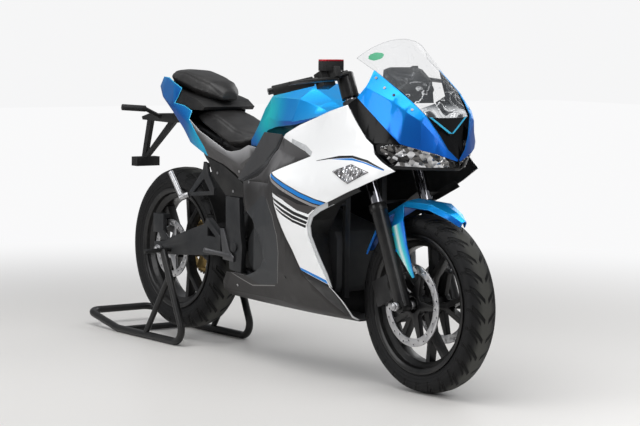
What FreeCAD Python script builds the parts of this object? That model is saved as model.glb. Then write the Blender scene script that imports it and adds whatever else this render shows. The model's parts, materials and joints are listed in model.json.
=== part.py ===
import FreeCAD, Part
import math
import os

# Sport bike with an electric drive, on its rear paddock stand.
# Millimetres. X runs forward, Y to the rider's left, Z up, and the floor is Z = 0.
# Every piece is drawn with X measured from the ground point under the rear axle,
# and its placement then moves the middle of the whole length to the origin.

V = FreeCAD.Vector
doc = FreeCAD.newDocument("sport_bike")

# The driving sizes: alias, value in millimetres or degrees, what it is.
SIZES = (
    ("wheelbase", 1440, "rear axle to front axle"),
    ("rake", 24, "lean of the steering axis from upright, degrees"),
    ("leg_offset", 35, "fork legs ahead of the steering axis"),
    ("leg_spread", 105, "middle of the bike to the middle of a fork leg"),
    ("front_tyre_radius", 294, "110/70-17 tyre"),
    ("front_tyre_width", 110, "110/70-17 tyre"),
    ("rear_tyre_radius", 308, "130/70-17 tyre"),
    ("rear_tyre_width", 132, "130/70-17 tyre"),
    ("rim_radius", 230, "flange of a 17 inch rim"),
    ("rear_lift", 40, "rear tyre above the floor, on the stand"),
    ("handle_reach", 504, "rear axle back to the end of the stand's handle"),
    ("front_disc_radius", 137, "front brake disc"),
    ("front_disc_side", 65, "middle of the bike to a front disc's inner face"),
    ("rear_disc_radius", 110, "rear brake disc"),
    ("disc_thickness", 5, "all brake discs"),
    ("front_axle_radius", 9, "front axle"),
    ("rear_axle_radius", 10, "rear axle"),
    ("hub_clearance", 0.4, "round an axle, inside its hub"),
    ("spoke_count", 5, "forked spokes in each wheel"),
    ("tube_radius", 20.5, "fork tube"),
    ("slider_radius", 27, "fork slider"),
    ("slider_top", 352, "front axle up the fork leg to its seal"),
    ("stem_radius", 16, "steering stem"),
    ("lower_yoke", 505, "front axle up the steering axis to the lower yoke"),
    ("upper_yoke", 690, "front axle up the steering axis to the upper yoke"),
    ("yoke_depth", 26, "thickness of each yoke"),
    ("tube_over", 100, "upper yoke's top face to the fork tube's end"),
    ("bar_radius", 11, "handlebar tube"),
    ("bar_reach", 352, "middle of the bike to the end of a handlebar"),
    ("grip_radius", 16.5, "rubber grip"),
    ("fairing_wall", 4, "moulded body panels"),
    ("screen_wall", 3, "windscreen"),
    ("pivot_x", 486, "rear axle to the swingarm pivot"),
    ("pivot_height", 399, "floor to the swingarm pivot"),
    ("motor_x", 625, "rear axle to the motor's shaft"),
    ("motor_height", 395, "floor to the motor's shaft"),
    ("motor_radius", 98, "motor casing"),
    ("rear_sprocket_radius", 104, "pitch circle of the rear sprocket"),
    ("front_sprocket_radius", 31, "pitch circle of the motor's sprocket"),
    ("chain_side", 79, "middle of the bike to the chain's inner face"),
    ("chain_width", 14, "chain across its plates"),
    ("arm_inside", 98, "middle of the bike to a swingarm leg"),
    ("arm_width", 26, "width of a swingarm leg"),
    ("plate_inside", 97, "middle of the bike to a pivot plate"),
    ("plate_thickness", 20, "pivot plate"),
    ("stand_tube_radius", 14, "paddock stand tube"),
    ("stand_half_width", 155, "middle of the bike to a stand rail"),
    ("side_stand_length", 258, "side stand pivot to its foot"),
)
sheet = doc.addObject("Spreadsheet::Sheet", "sizes")
for row, (alias, value, note) in enumerate(SIZES, start=1):
    sheet.set(f"A{row}", note)
    sheet.set(f"B{row}", str(value))
    sheet.setAlias(f"B{row}", alias)
doc.recompute()


def size(alias):
    return float(sheet.get(alias))


# Stations that the tables below measure from.
REAR = 0.0
FRONT = size("wheelbase")
REAR_AXLE_Z = size("rear_tyre_radius") + size("rear_lift")
RAKE = math.radians(size("rake"))

SHIFT = "(sizes.wheelbase + sizes.front_tyre_radius - sizes.handle_reach) / 2"
# Where each group of pieces is drawn: the frame's own X, Z and turn about Y.
FRAMES = {
    "bike": (f"-{SHIFT}", "0", "0"),
    "rear_wheel": (f"-{SHIFT}", "sizes.rear_tyre_radius + sizes.rear_lift", "0"),
    "front_wheel": (f"sizes.wheelbase - {SHIFT}", "sizes.front_tyre_radius", "0"),
    "steering": (
        f"sizes.wheelbase - sizes.leg_offset * cos(sizes.rake) - {SHIFT}",
        "sizes.front_tyre_radius - sizes.leg_offset * sin(sizes.rake)",
        "-sizes.rake",
    ),
}
PLANES = {
    "side": (FreeCAD.Rotation(V(1, 0, 0), 90), V(0, 1, 0)),
    "cross": (FreeCAD.Rotation(V(1, 1, 1), 120), V(1, 0, 0)),
    "plan": (FreeCAD.Rotation(), V(0, 0, 1)),
}
nodes = {}


def outline(name, plane, corners, at=0.0):
    """A closed sketch. A corner is (a, b), and (a, b, "arc") lies on an arc between its neighbours."""
    turn, normal = PLANES[plane]
    sketch = doc.addObject("Sketcher::SketchObject", name)
    sketch.Placement = FreeCAD.Placement(normal * at, turn)
    points = [V(corner[0], corner[1], 0) for corner in corners]
    on_arc = [len(corner) == 3 for corner in corners]
    for here in range(len(points)):
        after = (here + 1) % len(points)
        beyond = (here + 2) % len(points)
        if on_arc[here]:
            continue
        if on_arc[after]:
            sketch.addGeometry(Part.Arc(points[here], points[after], points[beyond]), False)
        else:
            sketch.addGeometry(Part.LineSegment(points[here], points[after]), False)
    return sketch


def set_size(thing, prop, value):
    """A value is a number, or a sum of the sheet's aliases as text."""
    if isinstance(value, str):
        thing.setExpression(prop, value)
    else:
        setattr(thing, prop, value)


def slab(name, plane, corners, low, depth):
    """An outline extruded from low by depth, across its plane."""
    sketch = outline(f"{name}_outline", plane, corners, low)
    body = doc.addObject("Part::Extrusion", name)
    body.Base = sketch
    body.DirMode = "Custom"
    body.Dir = PLANES[plane][1]
    body.Solid = True
    set_size(body, "LengthFwd", depth)
    return body


def turned(name, corners):
    """A ring or shaft turned about Y. Corners are (radius, y)."""
    sketch = outline(f"{name}_profile", "plan", corners)
    body = doc.addObject("Part::Revolution", name)
    body.Source = sketch
    body.Axis = V(0, 1, 0)
    body.Base = V(0, 0, 0)
    body.Angle = 360
    body.Solid = True
    return body


def rod(name, radius, start, end):
    """A round bar between two points."""
    bar = doc.addObject("Part::Cylinder", name)
    along = V(*end) - V(*start)
    set_size(bar, "Radius", radius)
    bar.Height = along.Length
    bar.Placement = FreeCAD.Placement(V(*start), FreeCAD.Rotation(V(0, 0, 1), along))
    return bar


def block(name, low, high):
    box = doc.addObject("Part::Box", name)
    box.Length, box.Width, box.Height = (b - a for a, b in zip(low, high))
    box.Placement = FreeCAD.Placement(V(*low), FreeCAD.Rotation())
    return box


def join(name, *pieces):
    body = doc.addObject("Part::MultiFuse", name)
    body.Shapes = list(pieces)
    return body


def cut(name, base, tool):
    body = doc.addObject("Part::Cut", name)
    body.Base = base
    body.Tool = tool
    return body


def common(name, base, tool):
    body = doc.addObject("Part::Common", name)
    body.Base = base
    body.Tool = tool
    return body


def mirror(thing):
    """The same piece on the other side of the bike."""
    other = doc.addObject("Part::Mirroring", f"{thing.Name}_left")
    other.Source = thing
    other.Normal = V(0, 1, 0)
    other.Base = V(0, 0, 0)
    return other


def loft(name, sections, ruled=True):
    body = doc.addObject("Part::Loft", name)
    body.Sections = sections
    body.Solid = True
    body.Ruled = ruled
    return body


def around(name, piece, count):
    """Copies of a piece evenly round the Y axis, joined."""
    copies = []
    for index in range(int(count)):
        copy = doc.addObject("Part::Feature", f"{name}_{index}")
        doc.recompute([piece])
        copy.Shape = piece.Shape.copy()
        copy.Placement = FreeCAD.Placement(V(), FreeCAD.Rotation(V(0, 1, 0), 360.0 * index / count))
        copies.append(copy)
    return copies


def bent_tube(name, radius, points, bends):
    """A round tube along straight runs joined by tangent arcs of the bends' radii."""
    corners = [V(*point) for point in points]
    edges = []
    start = corners[0]
    for before, corner, after, bend in zip(corners, corners[1:], corners[2:], bends):
        back = (before - corner).normalize()
        on = (after - corner).normalize()
        half = back.getAngle(on) / 2
        reach = bend / math.tan(half)
        centre = corner + (back + on).normalize() * (bend / math.sin(half))
        first = corner + back * reach
        last = corner + on * reach
        middle = centre + (corner - centre).normalize() * bend
        edges.append(Part.makeLine(start, first))
        edges.append(Part.Arc(first, middle, last).toShape())
        start = last
    edges.append(Part.makeLine(start, corners[-1]))
    spine = Part.Wire(edges)
    circle = Part.Wire(Part.makeCircle(radius, corners[0], corners[1] - corners[0]))
    tube = doc.addObject("Part::Feature", name)
    tube.Shape = spine.makePipeShell([circle], True, False)
    return tube


def node(name, frame, *pieces):
    """One named sub-part: its pieces together, set in its frame."""
    group = doc.addObject("Part::Compound", name)
    group.Label = name
    group.Links = list(pieces)
    x, z, turn = FRAMES[frame]
    group.Placement = FreeCAD.Placement(V(), FreeCAD.Rotation(V(0, 1, 0), -1))
    group.setExpression("Placement.Base.x", x)
    group.setExpression("Placement.Base.z", z)
    group.setExpression("Placement.Rotation.Angle", f"{turn} * 1 deg")
    nodes[name] = group
    return group


# Wheels

def tyre(name, radius, width):
    """Rounded tread over full side walls, with beads that sit inside the rim's flanges."""
    flange = size("rim_radius")
    seat = flange - 11
    half = width / 2
    wall = radius - flange
    right = (
        (seat, half - 14),
        (flange + 0.5, half - 13.5),
        (flange + 0.22 * wall, half - 4),
        (flange + 0.5 * wall, half),
        (flange + 0.72 * wall, half * 0.93),
        (flange + 0.89 * wall, half * 0.70),
        (flange + 0.975 * wall, half * 0.38),
    )
    left = [(r, -y) for r, y in right]
    return turned(name, [*right, (radius, 0), *reversed(left)])


def rim_barrel(name, width):
    """The rolled rim: two flanges, two bead seats and a drop centre."""
    flange = size("rim_radius")
    half = width / 2
    edge = half - 13
    outer = (
        (flange, edge + 6),
        (flange, edge),
        (flange - 11.5, edge - 1),
        (flange - 14, edge - 14),
        (flange - 32, edge - 22),
    )
    inner = (
        (flange - 39, edge - 24),
        (flange - 21, edge - 12),
        (flange - 17.5, edge + 1),
        (flange - 6, edge + 6),
    )
    left_outer = [(r, -y) for r, y in outer]
    left_inner = [(r, -y) for r, y in inner]
    return turned(name, [*outer, *reversed(left_outer), *reversed(left_inner), *inner])


def forked_spokes(name, root, rim, half_depth):
    """A spoke that leaves the hub as one stem and meets the rim as two arms."""
    reach = rim - 36
    corners = (
        (root, -13),
        (0.50 * reach, -11),
        (reach, -54),
        (reach + 3, -36),
        (0.62 * reach, 0),
        (reach + 3, 36),
        (reach, 54),
        (0.50 * reach, 11),
        (root, 13),
    )
    spoke = slab(f"{name}_spoke", "side", corners, -half_depth, 2 * half_depth)
    return around(name, spoke, size("spoke_count"))


def wheel_rim(name, width, hub_radius, hub_left, hub_right, axle_radius, half_depth):
    bore = axle_radius + size("hub_clearance")
    barrel = rim_barrel(f"{name}_barrel", width)
    hub = turned(f"{name}_hub", [(bore, -hub_right), (hub_radius, -hub_right), (hub_radius, hub_left), (bore, hub_left)])
    spokes = forked_spokes(f"{name}_star", hub_radius - 4, size("rim_radius"), half_depth)
    return join(f"{name}_casting", barrel, hub, *spokes)


def disc(name, radius, band, side, holes):
    """A brake disc: a drilled band, with side as the lower Y of its two faces."""
    thick = size("disc_thickness")
    band_ring = turned(f"{name}_ring", [(radius - band, side), (radius, side), (radius, side + thick), (radius - band, side + thick)])
    drills = []
    for index in range(holes):
        turn = 2 * math.pi * index / holes
        ring = radius - band * (0.3 if index % 2 else 0.7)
        place = (ring * math.cos(turn), side - 1, ring * math.sin(turn))
        drills.append(rod(f"{name}_drill_{index}", 3.2, place, (place[0], side + thick + 1, place[2])))
    return cut(name, band_ring, join(f"{name}_drills", *drills))


def carrier(name, outer, inner, side, depth, arms):
    """The black star that ties a disc's band to the hub."""
    hub = turned(f"{name}_ring", [(inner, side), (inner + 16, side), (inner + 16, side + depth), (inner, side + depth)])
    arm = slab(
        f"{name}_arm",
        "side",
        ((inner + 10, -16), (outer - 8, -9), (outer, -9), (outer, 9), (outer - 8, 9), (inner + 10, 16)),
        side,
        depth,
    )
    return join(name, hub, *around(f"{name}_arms", arm, arms))


front_hub = 48
rear_hub_right = 64
rear_hub_left = 72

node("front_tyre", "front_wheel", tyre("front_tread", size("front_tyre_radius"), size("front_tyre_width")))
node("front_rim", "front_wheel", wheel_rim("front", size("front_tyre_width"), 31, front_hub, front_hub, size("front_axle_radius"), 14))
disc_side = size("front_disc_side")
thick = size("disc_thickness")
disc_band = 27
front_band = size("front_disc_radius") - disc_band
left_disc = disc("front_disc", size("front_disc_radius"), disc_band, disc_side, 30)
left_star = carrier("front_star", front_band - 0.6, 26, disc_side - 17, 18, 5)
node("front_discs", "front_wheel", left_disc, mirror(left_disc))
node("front_disc_carriers", "front_wheel", left_star, mirror(left_star))

node("rear_tyre", "rear_wheel", tyre("rear_tread", size("rear_tyre_radius"), size("rear_tyre_width")))
node("rear_rim", "rear_wheel", wheel_rim("rear", size("rear_tyre_width"), 40, rear_hub_left, rear_hub_right, size("rear_axle_radius"), 17))
rear_disc_side = -rear_hub_right - thick - 6
node(
    "rear_disc",
    "rear_wheel",
    join(
        "rear_disc_set",
        disc("rear_band", size("rear_disc_radius"), 24, rear_disc_side, 24),
        carrier("rear_star", size("rear_disc_radius") - 23, 24, rear_disc_side, thick + 6, 5),
    ),
)


def toothed(name, pitch_radius, teeth, bore, side, depth, windows=0):
    """A sprocket: a plate with straight-sided teeth, lightened by windows between its arms."""
    corners = []
    for index in range(teeth):
        for share, reach in ((0.0, -4.0), (0.3, -4.0), (0.45, 3.0), (0.85, 3.0)):
            turn = 2 * math.pi * (index + share) / teeth
            corners.append(((pitch_radius + reach) * math.cos(turn), (pitch_radius + reach) * math.sin(turn)))
    plate = slab(f"{name}_plate", "side", corners, side, depth)
    holes = [rod(f"{name}_hole", bore, (0, side - 1, 0), (0, side + depth + 1, 0))]
    if windows:
        near, far = bore + 14, pitch_radius - 20
        corners = ((near, -0.32 * near), (far, -0.46 * far), (1.1 * far, 0), (far, 0.46 * far), (near, 0.32 * near))
        holes += around(f"{name}_windows", slab(f"{name}_window", "side", corners, side - 1, depth + 2), windows)
    return cut(name, plate, join(f"{name}_holes", *holes) if windows else holes[0])


chain_middle = size("chain_side") + size("chain_width") / 2
sprocket_depth = 6
rear_sprocket = toothed(
    "rear_sprocket_teeth",
    size("rear_sprocket_radius") - 6,
    40,
    30,
    rear_hub_left,
    chain_middle + sprocket_depth / 2 - rear_hub_left,
    windows=5,
)
node("rear_sprocket", "rear_wheel", rear_sprocket)

# Rear axle, chain and swingarm

arm_inside = size("arm_inside")
arm_outside = arm_inside + size("arm_width")
axle_r = size("rear_axle_radius")
rear_spindle = turned(
    "rear_spindle",
    [
        (0, -arm_outside - 16),
        (axle_r + 7, -arm_outside - 16),
        (axle_r + 7, -arm_outside - 0.3),
        (axle_r, -arm_outside - 0.3),
        (axle_r, -arm_inside + 0.3),
        (axle_r + 6, -arm_inside + 0.3),
        (axle_r + 6, rear_disc_side - 1),
        (axle_r, rear_disc_side - 1),
        (axle_r, chain_middle + 4),
        (axle_r + 6, chain_middle + 4),
        (axle_r + 6, arm_inside - 0.3),
        (axle_r, arm_inside - 0.3),
        (axle_r, arm_outside + 0.3),
        (axle_r + 7, arm_outside + 0.3),
        (axle_r + 7, arm_outside + 16),
        (0, arm_outside + 16),
    ],
)
node("rear_axle", "rear_wheel", rear_spindle)

pivot_x = size("pivot_x")
pivot_z = size("pivot_height")


def belt_outline(rear_radius, front_radius):
    """A loop round two circles in side view: corners with an arc at each end."""
    ax, az = REAR, REAR_AXLE_Z
    bx, bz = size("motor_x"), size("motor_height")
    span = math.hypot(bx - ax, bz - az)
    slope = math.atan2(bz - az, bx - ax)
    lean = math.asin((rear_radius - front_radius) / span)

    def on_rear(angle):
        return (ax + rear_radius * math.cos(angle), az + rear_radius * math.sin(angle))

    def on_front(angle):
        return (bx + front_radius * math.cos(angle), bz + front_radius * math.sin(angle))

    top = slope + math.pi / 2 - lean
    low = slope - math.pi / 2 + lean
    return (
        on_rear(top),
        (*on_rear(slope + math.pi), "arc"),
        on_rear(low),
        on_front(low),
        (*on_front(slope), "arc"),
        on_front(top),
    )


chain_side = size("chain_side")
chain_outer = slab("chain_outer", "side", belt_outline(size("rear_sprocket_radius") + 6, size("front_sprocket_radius") + 6), chain_side, "sizes.chain_width")
chain_inner = slab("chain_inner", "side", belt_outline(size("rear_sprocket_radius") - 2.5, size("front_sprocket_radius") - 2.5), chain_side - 1, "sizes.chain_width + 2")
node("chain", "bike", cut("chain_loop", chain_outer, chain_inner))

arm_outline = (
    (REAR - 46, REAR_AXLE_Z + 24),
    (REAR - 46, REAR_AXLE_Z - 20),
    (REAR + 26, REAR_AXLE_Z - 20),
    (REAR + 34, REAR_AXLE_Z - 12),
    (REAR + 95, REAR_AXLE_Z - 14),
    (pivot_x - 128, pivot_z - 42),
    (pivot_x - 82, pivot_z - 24),
    (pivot_x - 82, pivot_z + 30),
    (pivot_x - 174, pivot_z + 92),
    (pivot_x - 186, pivot_z + 70),
    (REAR + 80, REAR_AXLE_Z + 54),
    (REAR + 20, REAR_AXLE_Z + 30),
)
arm_brace_gap = (
    (pivot_x - 168, pivot_z + 26),
    (pivot_x - 112, pivot_z + 26),
    (pivot_x - 168, pivot_z + 62),
)
arm = slab("arm", "side", arm_outline, arm_inside, "sizes.arm_width")
arm_gap = slab("arm_gap", "side", arm_brace_gap, arm_inside - 1, "sizes.arm_width + 2")
axle_hole = rod("axle_hole", "sizes.rear_axle_radius", (REAR, arm_inside - 1, REAR_AXLE_Z), (REAR, arm_outside + 1, REAR_AXLE_Z))
left_arm = cut("swing_leg", arm, join("swing_leg_holes", arm_gap, axle_hole))
lug_outline = (
    (pivot_x - 140, pivot_z - 20),
    (pivot_x + 8, pivot_z - 20),
    (pivot_x + 21, pivot_z, "arc"),
    (pivot_x + 8, pivot_z + 20),
    (pivot_x - 140, pivot_z + 20),
)
lug = slab("pivot_lug", "side", lug_outline, 50, chain_side - 50 - 6)
swing_bridge = block("swing_bridge", (pivot_x - 141, -arm_inside - 2, pivot_z - 20), (pivot_x - 96, arm_inside + 2, pivot_z + 20))
pivot_hole = rod("pivot_hole", 12.3, (pivot_x, -90, pivot_z), (pivot_x, 90, pivot_z))
swing = cut("swing", join("swing_welded", left_arm, mirror(left_arm), lug, mirror(lug), swing_bridge), pivot_hole)
node("swingarm", "bike", swing)

# Frame, battery and motor

steer_x = FRONT - size("leg_offset") * math.cos(RAKE)
steer_z = size("front_tyre_radius") - size("leg_offset") * math.sin(RAKE)


def on_steering_axis(up):
    """The point that far up the steering axis, level with the front axle at zero."""
    return (steer_x - up * math.sin(RAKE), 0, steer_z + up * math.cos(RAKE))


plate_inside = size("plate_inside")
head_low = size("lower_yoke") + size("yoke_depth") + 6
head_high = size("upper_yoke") - 6
head_x, _, head_z = on_steering_axis((head_low + head_high) / 2)
gusset_depth = 0.45 * (head_high - head_low)
gusset_low = head_z - gusset_depth / 2
gusset_high = head_z + gusset_depth / 2
spar_rise = (pivot_x + 230, pivot_z + 318)
spar_bend = (FRONT - 400, gusset_high - 22)
spar_outline = (
    (FRONT - 335, gusset_high - 1),
    (FRONT - 335, gusset_low + 1),
    (FRONT - 430, gusset_low - 54),
    (pivot_x + 160, pivot_z + 222),
    (pivot_x + 30, pivot_z + 150),
    (pivot_x - 60, pivot_z + 150),
    (pivot_x - 60, pivot_z + 196),
    (pivot_x + 40, pivot_z + 236),
    spar_rise,
    spar_bend,
)


def spar_top(x):
    """Height of the spar's upper edge between its rise and its bend."""
    share = (x - spar_rise[0]) / (spar_bend[0] - spar_rise[0])
    return spar_rise[1] + share * (spar_bend[1] - spar_rise[1])


plate_outline = (
    (pivot_x - 61, pivot_z + 180),
    (pivot_x + 26, pivot_z + 180),
    (pivot_x + 34, pivot_z + 60),
    (pivot_x + 46, pivot_z),
    (pivot_x + 40, pivot_z - 90),
    (pivot_x - 32, pivot_z - 84),
    (pivot_x - 42, pivot_z - 20),
    (pivot_x - 58, pivot_z + 60),
)
spar = slab("spar", "side", spar_outline, 80, plate_inside + 4 - 80)
pivot_plate = slab("pivot_plate", "side", plate_outline, plate_inside, "sizes.plate_thickness")
gusset = slab(
    "head_gusset",
    "plan",
    (
        (FRONT - 390, -plate_inside),
        (FRONT - 336, -plate_inside),
        (head_x - 5, -26),
        (head_x - 5, 26),
        (FRONT - 336, plate_inside),
        (FRONT - 390, plate_inside),
    ),
    gusset_low,
    gusset_depth,
)
head_tube = rod("head_tube", 28, on_steering_axis(head_low), on_steering_axis(head_high))
stem_hole = rod("stem_hole", "sizes.stem_radius + 0.4", on_steering_axis(head_low - 20), on_steering_axis(head_high + 20))
pivot_bolt = rod("pivot_bolt", 12, (pivot_x, -plate_inside - 26, pivot_z), (pivot_x, plate_inside + 26, pivot_z))
pivot_nut = rod("pivot_nut", 19, (pivot_x, -plate_inside - 28, pivot_z), (pivot_x, plate_inside + 28, pivot_z))
nut_gap = rod("nut_gap", 30, (pivot_x, -plate_inside, pivot_z), (pivot_x, plate_inside, pivot_z))
hanger_foot = block("hanger_foot", (pivot_x + 10, 80, pivot_z - 91), (pivot_x + 38, plate_inside + 4, pivot_z - 78))
high_cross = rod("high_cross", 15, (pivot_x - 16, -plate_inside - 4, pivot_z + 172), (pivot_x - 16, plate_inside + 4, pivot_z + 172))
battery_low = 297
battery_high = 505
motor_x = size("motor_x")
motor_z = size("motor_height")
hanger = slab(
    "battery_hanger",
    "side",
    (
        (pivot_x + 8, pivot_z - 92),
        (pivot_x + 110, battery_low - 16),
        (FRONT - 336, battery_low - 16),
        (FRONT - 336, 800),
        (FRONT - 352, 800),
        (FRONT - 352, battery_low),
        (pivot_x + 110, battery_low),
        (pivot_x + 8, pivot_z - 76),
    ),
    68,
    20,
)
motor_stay = slab(
    "motor_stay",
    "side",
    (
        (motor_x - 20, motor_z + size("motor_radius") + 1),
        (motor_x + 40, motor_z + size("motor_radius") + 1),
        (motor_x + 60, pivot_z + 260),
        (motor_x, pivot_z + 240),
    ),
    62,
    22,
)
stand_pivot = (pivot_x - 12, pivot_z - 72)
stand_boss = rod("stand_boss", 14, (stand_pivot[0], plate_inside + 5, stand_pivot[1]), (stand_pivot[0], plate_inside + 29.7, stand_pivot[1]))
stand_pin = rod("stand_pin", 7, (stand_pivot[0], plate_inside + 5, stand_pivot[1]), (stand_pivot[0], plate_inside + 46, stand_pivot[1]))
stand_head = rod("stand_head", 11, (stand_pivot[0], plate_inside + 44.3, stand_pivot[1]), (stand_pivot[0], plate_inside + 50, stand_pivot[1]))
tank_rest = 858.5
tank_mount = block("tank_mount", (REAR + 888, 82, spar_top(REAR + 888) - 20), (REAR + 912, 98, tank_rest))
fairing_bracket = rod("fairing_bracket", 6, (FRONT - 344, 80, 600), (FRONT - 344, 231, 600))
frame_parts = [fairing_bracket, mirror(fairing_bracket), tank_mount, mirror(tank_mount), stand_boss, stand_pin, stand_head, spar, mirror(spar), pivot_plate, mirror(pivot_plate), gusset, head_tube, hanger_foot, mirror(hanger_foot), high_cross]
frame_parts += [hanger, mirror(hanger), motor_stay, mirror(motor_stay), pivot_bolt, cut("pivot_ends", pivot_nut, nut_gap)]
node("frame", "bike", cut("frame_bored", join("frame_welded", *frame_parts), stem_hole))

battery_front = FRONT - 352.3
battery_half = 110
battery = slab(
    "battery_case",
    "side",
    (
        (motor_x + 110, battery_low + 14),
        (motor_x + 124, battery_low),
        (battery_front - 14, battery_low),
        (battery_front, battery_low + 24),
        (battery_front, battery_high - 26),
        (battery_front - 14, battery_high),
        (motor_x + 150, battery_high + 60),
        (motor_x + 110, battery_high + 60),
    ),
    -battery_half,
    2 * battery_half,
)
battery_cover = slab(
    "battery_cover",
    "side",
    (
        (motor_x - 22, 330),
        (motor_x + 140, battery_low + 20),
        (motor_x + 140, battery_high + 50),
        (motor_x + 20, battery_high + 50),
        (motor_x - 22, battery_high + 10),
    ),
    battery_half - 1,
    7,
)
node("battery_box", "bike", join("battery_set", battery, battery_cover, mirror(battery_cover)))
motor_case = rod("motor_case", "sizes.motor_radius", (motor_x, -88, motor_z), (motor_x, 62, motor_z))
motor_shaft = rod("motor_shaft", 12, (motor_x, 60, motor_z), (motor_x, chain_middle + 9, motor_z))
motor_cover = rod("motor_cover", 60, (motor_x, -94, motor_z), (motor_x, -86, motor_z))
node("motor", "bike", join("motor_block", motor_case, motor_shaft, motor_cover))
motor_teeth = toothed("motor_teeth", size("front_sprocket_radius") - 6, 13, 12, chain_middle - sprocket_depth / 2, sprocket_depth)
motor_teeth.Placement = FreeCAD.Placement(V(motor_x, 0, motor_z), FreeCAD.Rotation())
node("motor_sprocket", "bike", motor_teeth)

shock_low = (pivot_x - 118, 0, pivot_z + 20)
shock_high = (pivot_x - 16, 0, pivot_z + 172)
shock_mid = tuple(a + 0.62 * (b - a) for a, b in zip(shock_low, shock_high))
shock_start = tuple(a + 0.12 * (b - a) for a, b in zip(shock_low, shock_high))
shock_solid = join("shock_solid", rod("shock_rod", 9, shock_low, shock_high), rod("shock_spring", 27, shock_start, shock_mid))
shock_seats = join("shock_seats", rod("shock_top_seat", 15, (pivot_x - 16, -40, pivot_z + 172), (pivot_x - 16, 40, pivot_z + 172)), swing_bridge)
node("shock", "bike", cut("shock_unit", shock_solid, shock_seats))

# Steering: drawn with Z up the steering axis and X square to it, from the front axle's level

leg_x = size("leg_offset")
leg_y = size("leg_spread")
tube_r = size("tube_radius")
slider_r = size("slider_radius")
slider_top = size("slider_top")
tube_top = size("upper_yoke") + size("yoke_depth") + size("tube_over")
bore_foot = slider_top - 62


def leg_rod(name, radius, low, high):
    return rod(name, radius, (leg_x, leg_y, low), (leg_x, leg_y, high))


fork_tube = leg_rod("fork_tube", "sizes.tube_radius", bore_foot + 2, tube_top)
node("fork_tubes", "steering", fork_tube, mirror(fork_tube))
slider_body = leg_rod("slider_body", "sizes.slider_radius", -6, slider_top - 26)
slider_collar = leg_rod("slider_collar", slider_r + 3, slider_top - 26, slider_top)
slider_lug = rod("slider_lug", 23, (leg_x, leg_y - 17, 0), (leg_x, leg_y + 20, 0))
caliper_lug = slab(
    "caliper_lug",
    "side",
    ((leg_x - 20, 40), (leg_x - 20, 120), (leg_x - 66, 96), (leg_x - 66, 44)),
    leg_y - 24,
    12,
)
slider_bore = leg_rod("slider_bore", "sizes.tube_radius + 0.3", bore_foot, slider_top + 1)
slider_axle_hole = rod("slider_axle_hole", "sizes.front_axle_radius", (leg_x, leg_y - 30, 0), (leg_x, leg_y + 30, 0))
slider = cut(
    "slider",
    join("slider_cast", slider_body, slider_collar, slider_lug, caliper_lug),
    join("slider_holes", slider_bore, slider_axle_hole),
)
node("fork_sliders", "steering", slider, mirror(slider))

front_axle_r = size("front_axle_radius")
lug_in = leg_y - slider_r
lug_out = leg_y + slider_r
front_spindle = turned(
    "front_spindle",
    [
        (0, -lug_out - 11),
        (front_axle_r + 6, -lug_out - 11),
        (front_axle_r + 6, -lug_out - 0.3),
        (front_axle_r, -lug_out - 0.3),
        (front_axle_r, -lug_in + 0.3),
        (front_axle_r + 6, -lug_in + 0.3),
        (front_axle_r + 6, -front_hub - 1),
        (front_axle_r, -front_hub - 1),
        (front_axle_r, front_hub + 1),
        (front_axle_r + 6, front_hub + 1),
        (front_axle_r + 6, lug_in - 0.3),
        (front_axle_r, lug_in - 0.3),
        (front_axle_r, lug_out + 0.3),
        (front_axle_r + 6, lug_out + 0.3),
        (front_axle_r + 6, lug_out + 11),
        (0, lug_out + 11),
    ],
)
node("front_axle", "front_wheel", front_spindle)


def yoke(name, low, reach):
    """A clamp plate that holds both fork tubes and the stem."""
    plate = slab(
        f"{name}_plate",
        "plan",
        (
            (-reach, -34),
            (leg_x - 8, -leg_y - 30),
            (leg_x + 24, -leg_y - 22),
            (leg_x + 24, -leg_y + 22),
            (34, -26),
            (34, 26),
            (leg_x + 24, leg_y - 22),
            (leg_x + 24, leg_y + 22),
            (leg_x - 8, leg_y + 30),
            (-reach, 34),
        ),
        low,
        "sizes.yoke_depth",
    )
    left = leg_rod(f"{name}_boss", tube_r + 10, low, low + size("yoke_depth"))
    return join(f"{name}_body", plate, left, mirror(left))


lower = yoke("lower_clamp", size("lower_yoke"), 28)
upper = yoke("upper_clamp", size("upper_yoke"), 28)
stem = rod("stem", "sizes.stem_radius", (0, 0, size("lower_yoke")), (0, 0, size("upper_yoke") + size("yoke_depth") + 8))
tube_holes = leg_rod("tube_holes", "sizes.tube_radius + 0.05", size("lower_yoke") - 30, size("upper_yoke") + 60)
node("yokes", "steering", cut("yokes_bored", join("yokes_joined", lower, upper, stem), join("yoke_holes", tube_holes, mirror(tube_holes))))

# Handlebars: where the bar leaves its clamp, and where it ends
bar_root = V(leg_x + 26, leg_y + 6, tube_top - 8)
bar_tip = V(-75, size("bar_reach"), tube_top - 18)


def along_bar(y):
    share = (y - bar_root.y) / (bar_tip.y - bar_root.y)
    return tuple(bar_root + (bar_tip - bar_root) * share)


clamp_low = size("upper_yoke") + size("yoke_depth") + 12
clamp_ring = leg_rod("clamp_ring", tube_r + 9, clamp_low, tube_top - 2)
bar_tube = rod("bar_tube", "sizes.bar_radius", tuple(bar_root), tuple(bar_tip))
bar_hole = leg_rod("bar_hole", "sizes.tube_radius + 0.05", clamp_low - 5, tube_top + 40)
bar = cut("bar", join("bar_welded", clamp_ring, bar_tube), bar_hole)
node("handlebars", "steering", bar, mirror(bar))
pod_side = leg_y + 77
grip_in = pod_side + 34
grip_out = size("bar_reach") - 14
grip = cut(
    "grip",
    rod("grip_body", "sizes.grip_radius", along_bar(grip_in), along_bar(grip_out)),
    rod("grip_hole", "sizes.bar_radius + 0.05", along_bar(grip_in - 10), along_bar(grip_out + 10)),
)
node("grips", "steering", grip, mirror(grip))
pod_hole = rod("pod_hole", "sizes.bar_radius + 0.05", along_bar(pod_side - 40), along_bar(pod_side + 40))
pod_middle = V(*along_bar(pod_side))
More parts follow.
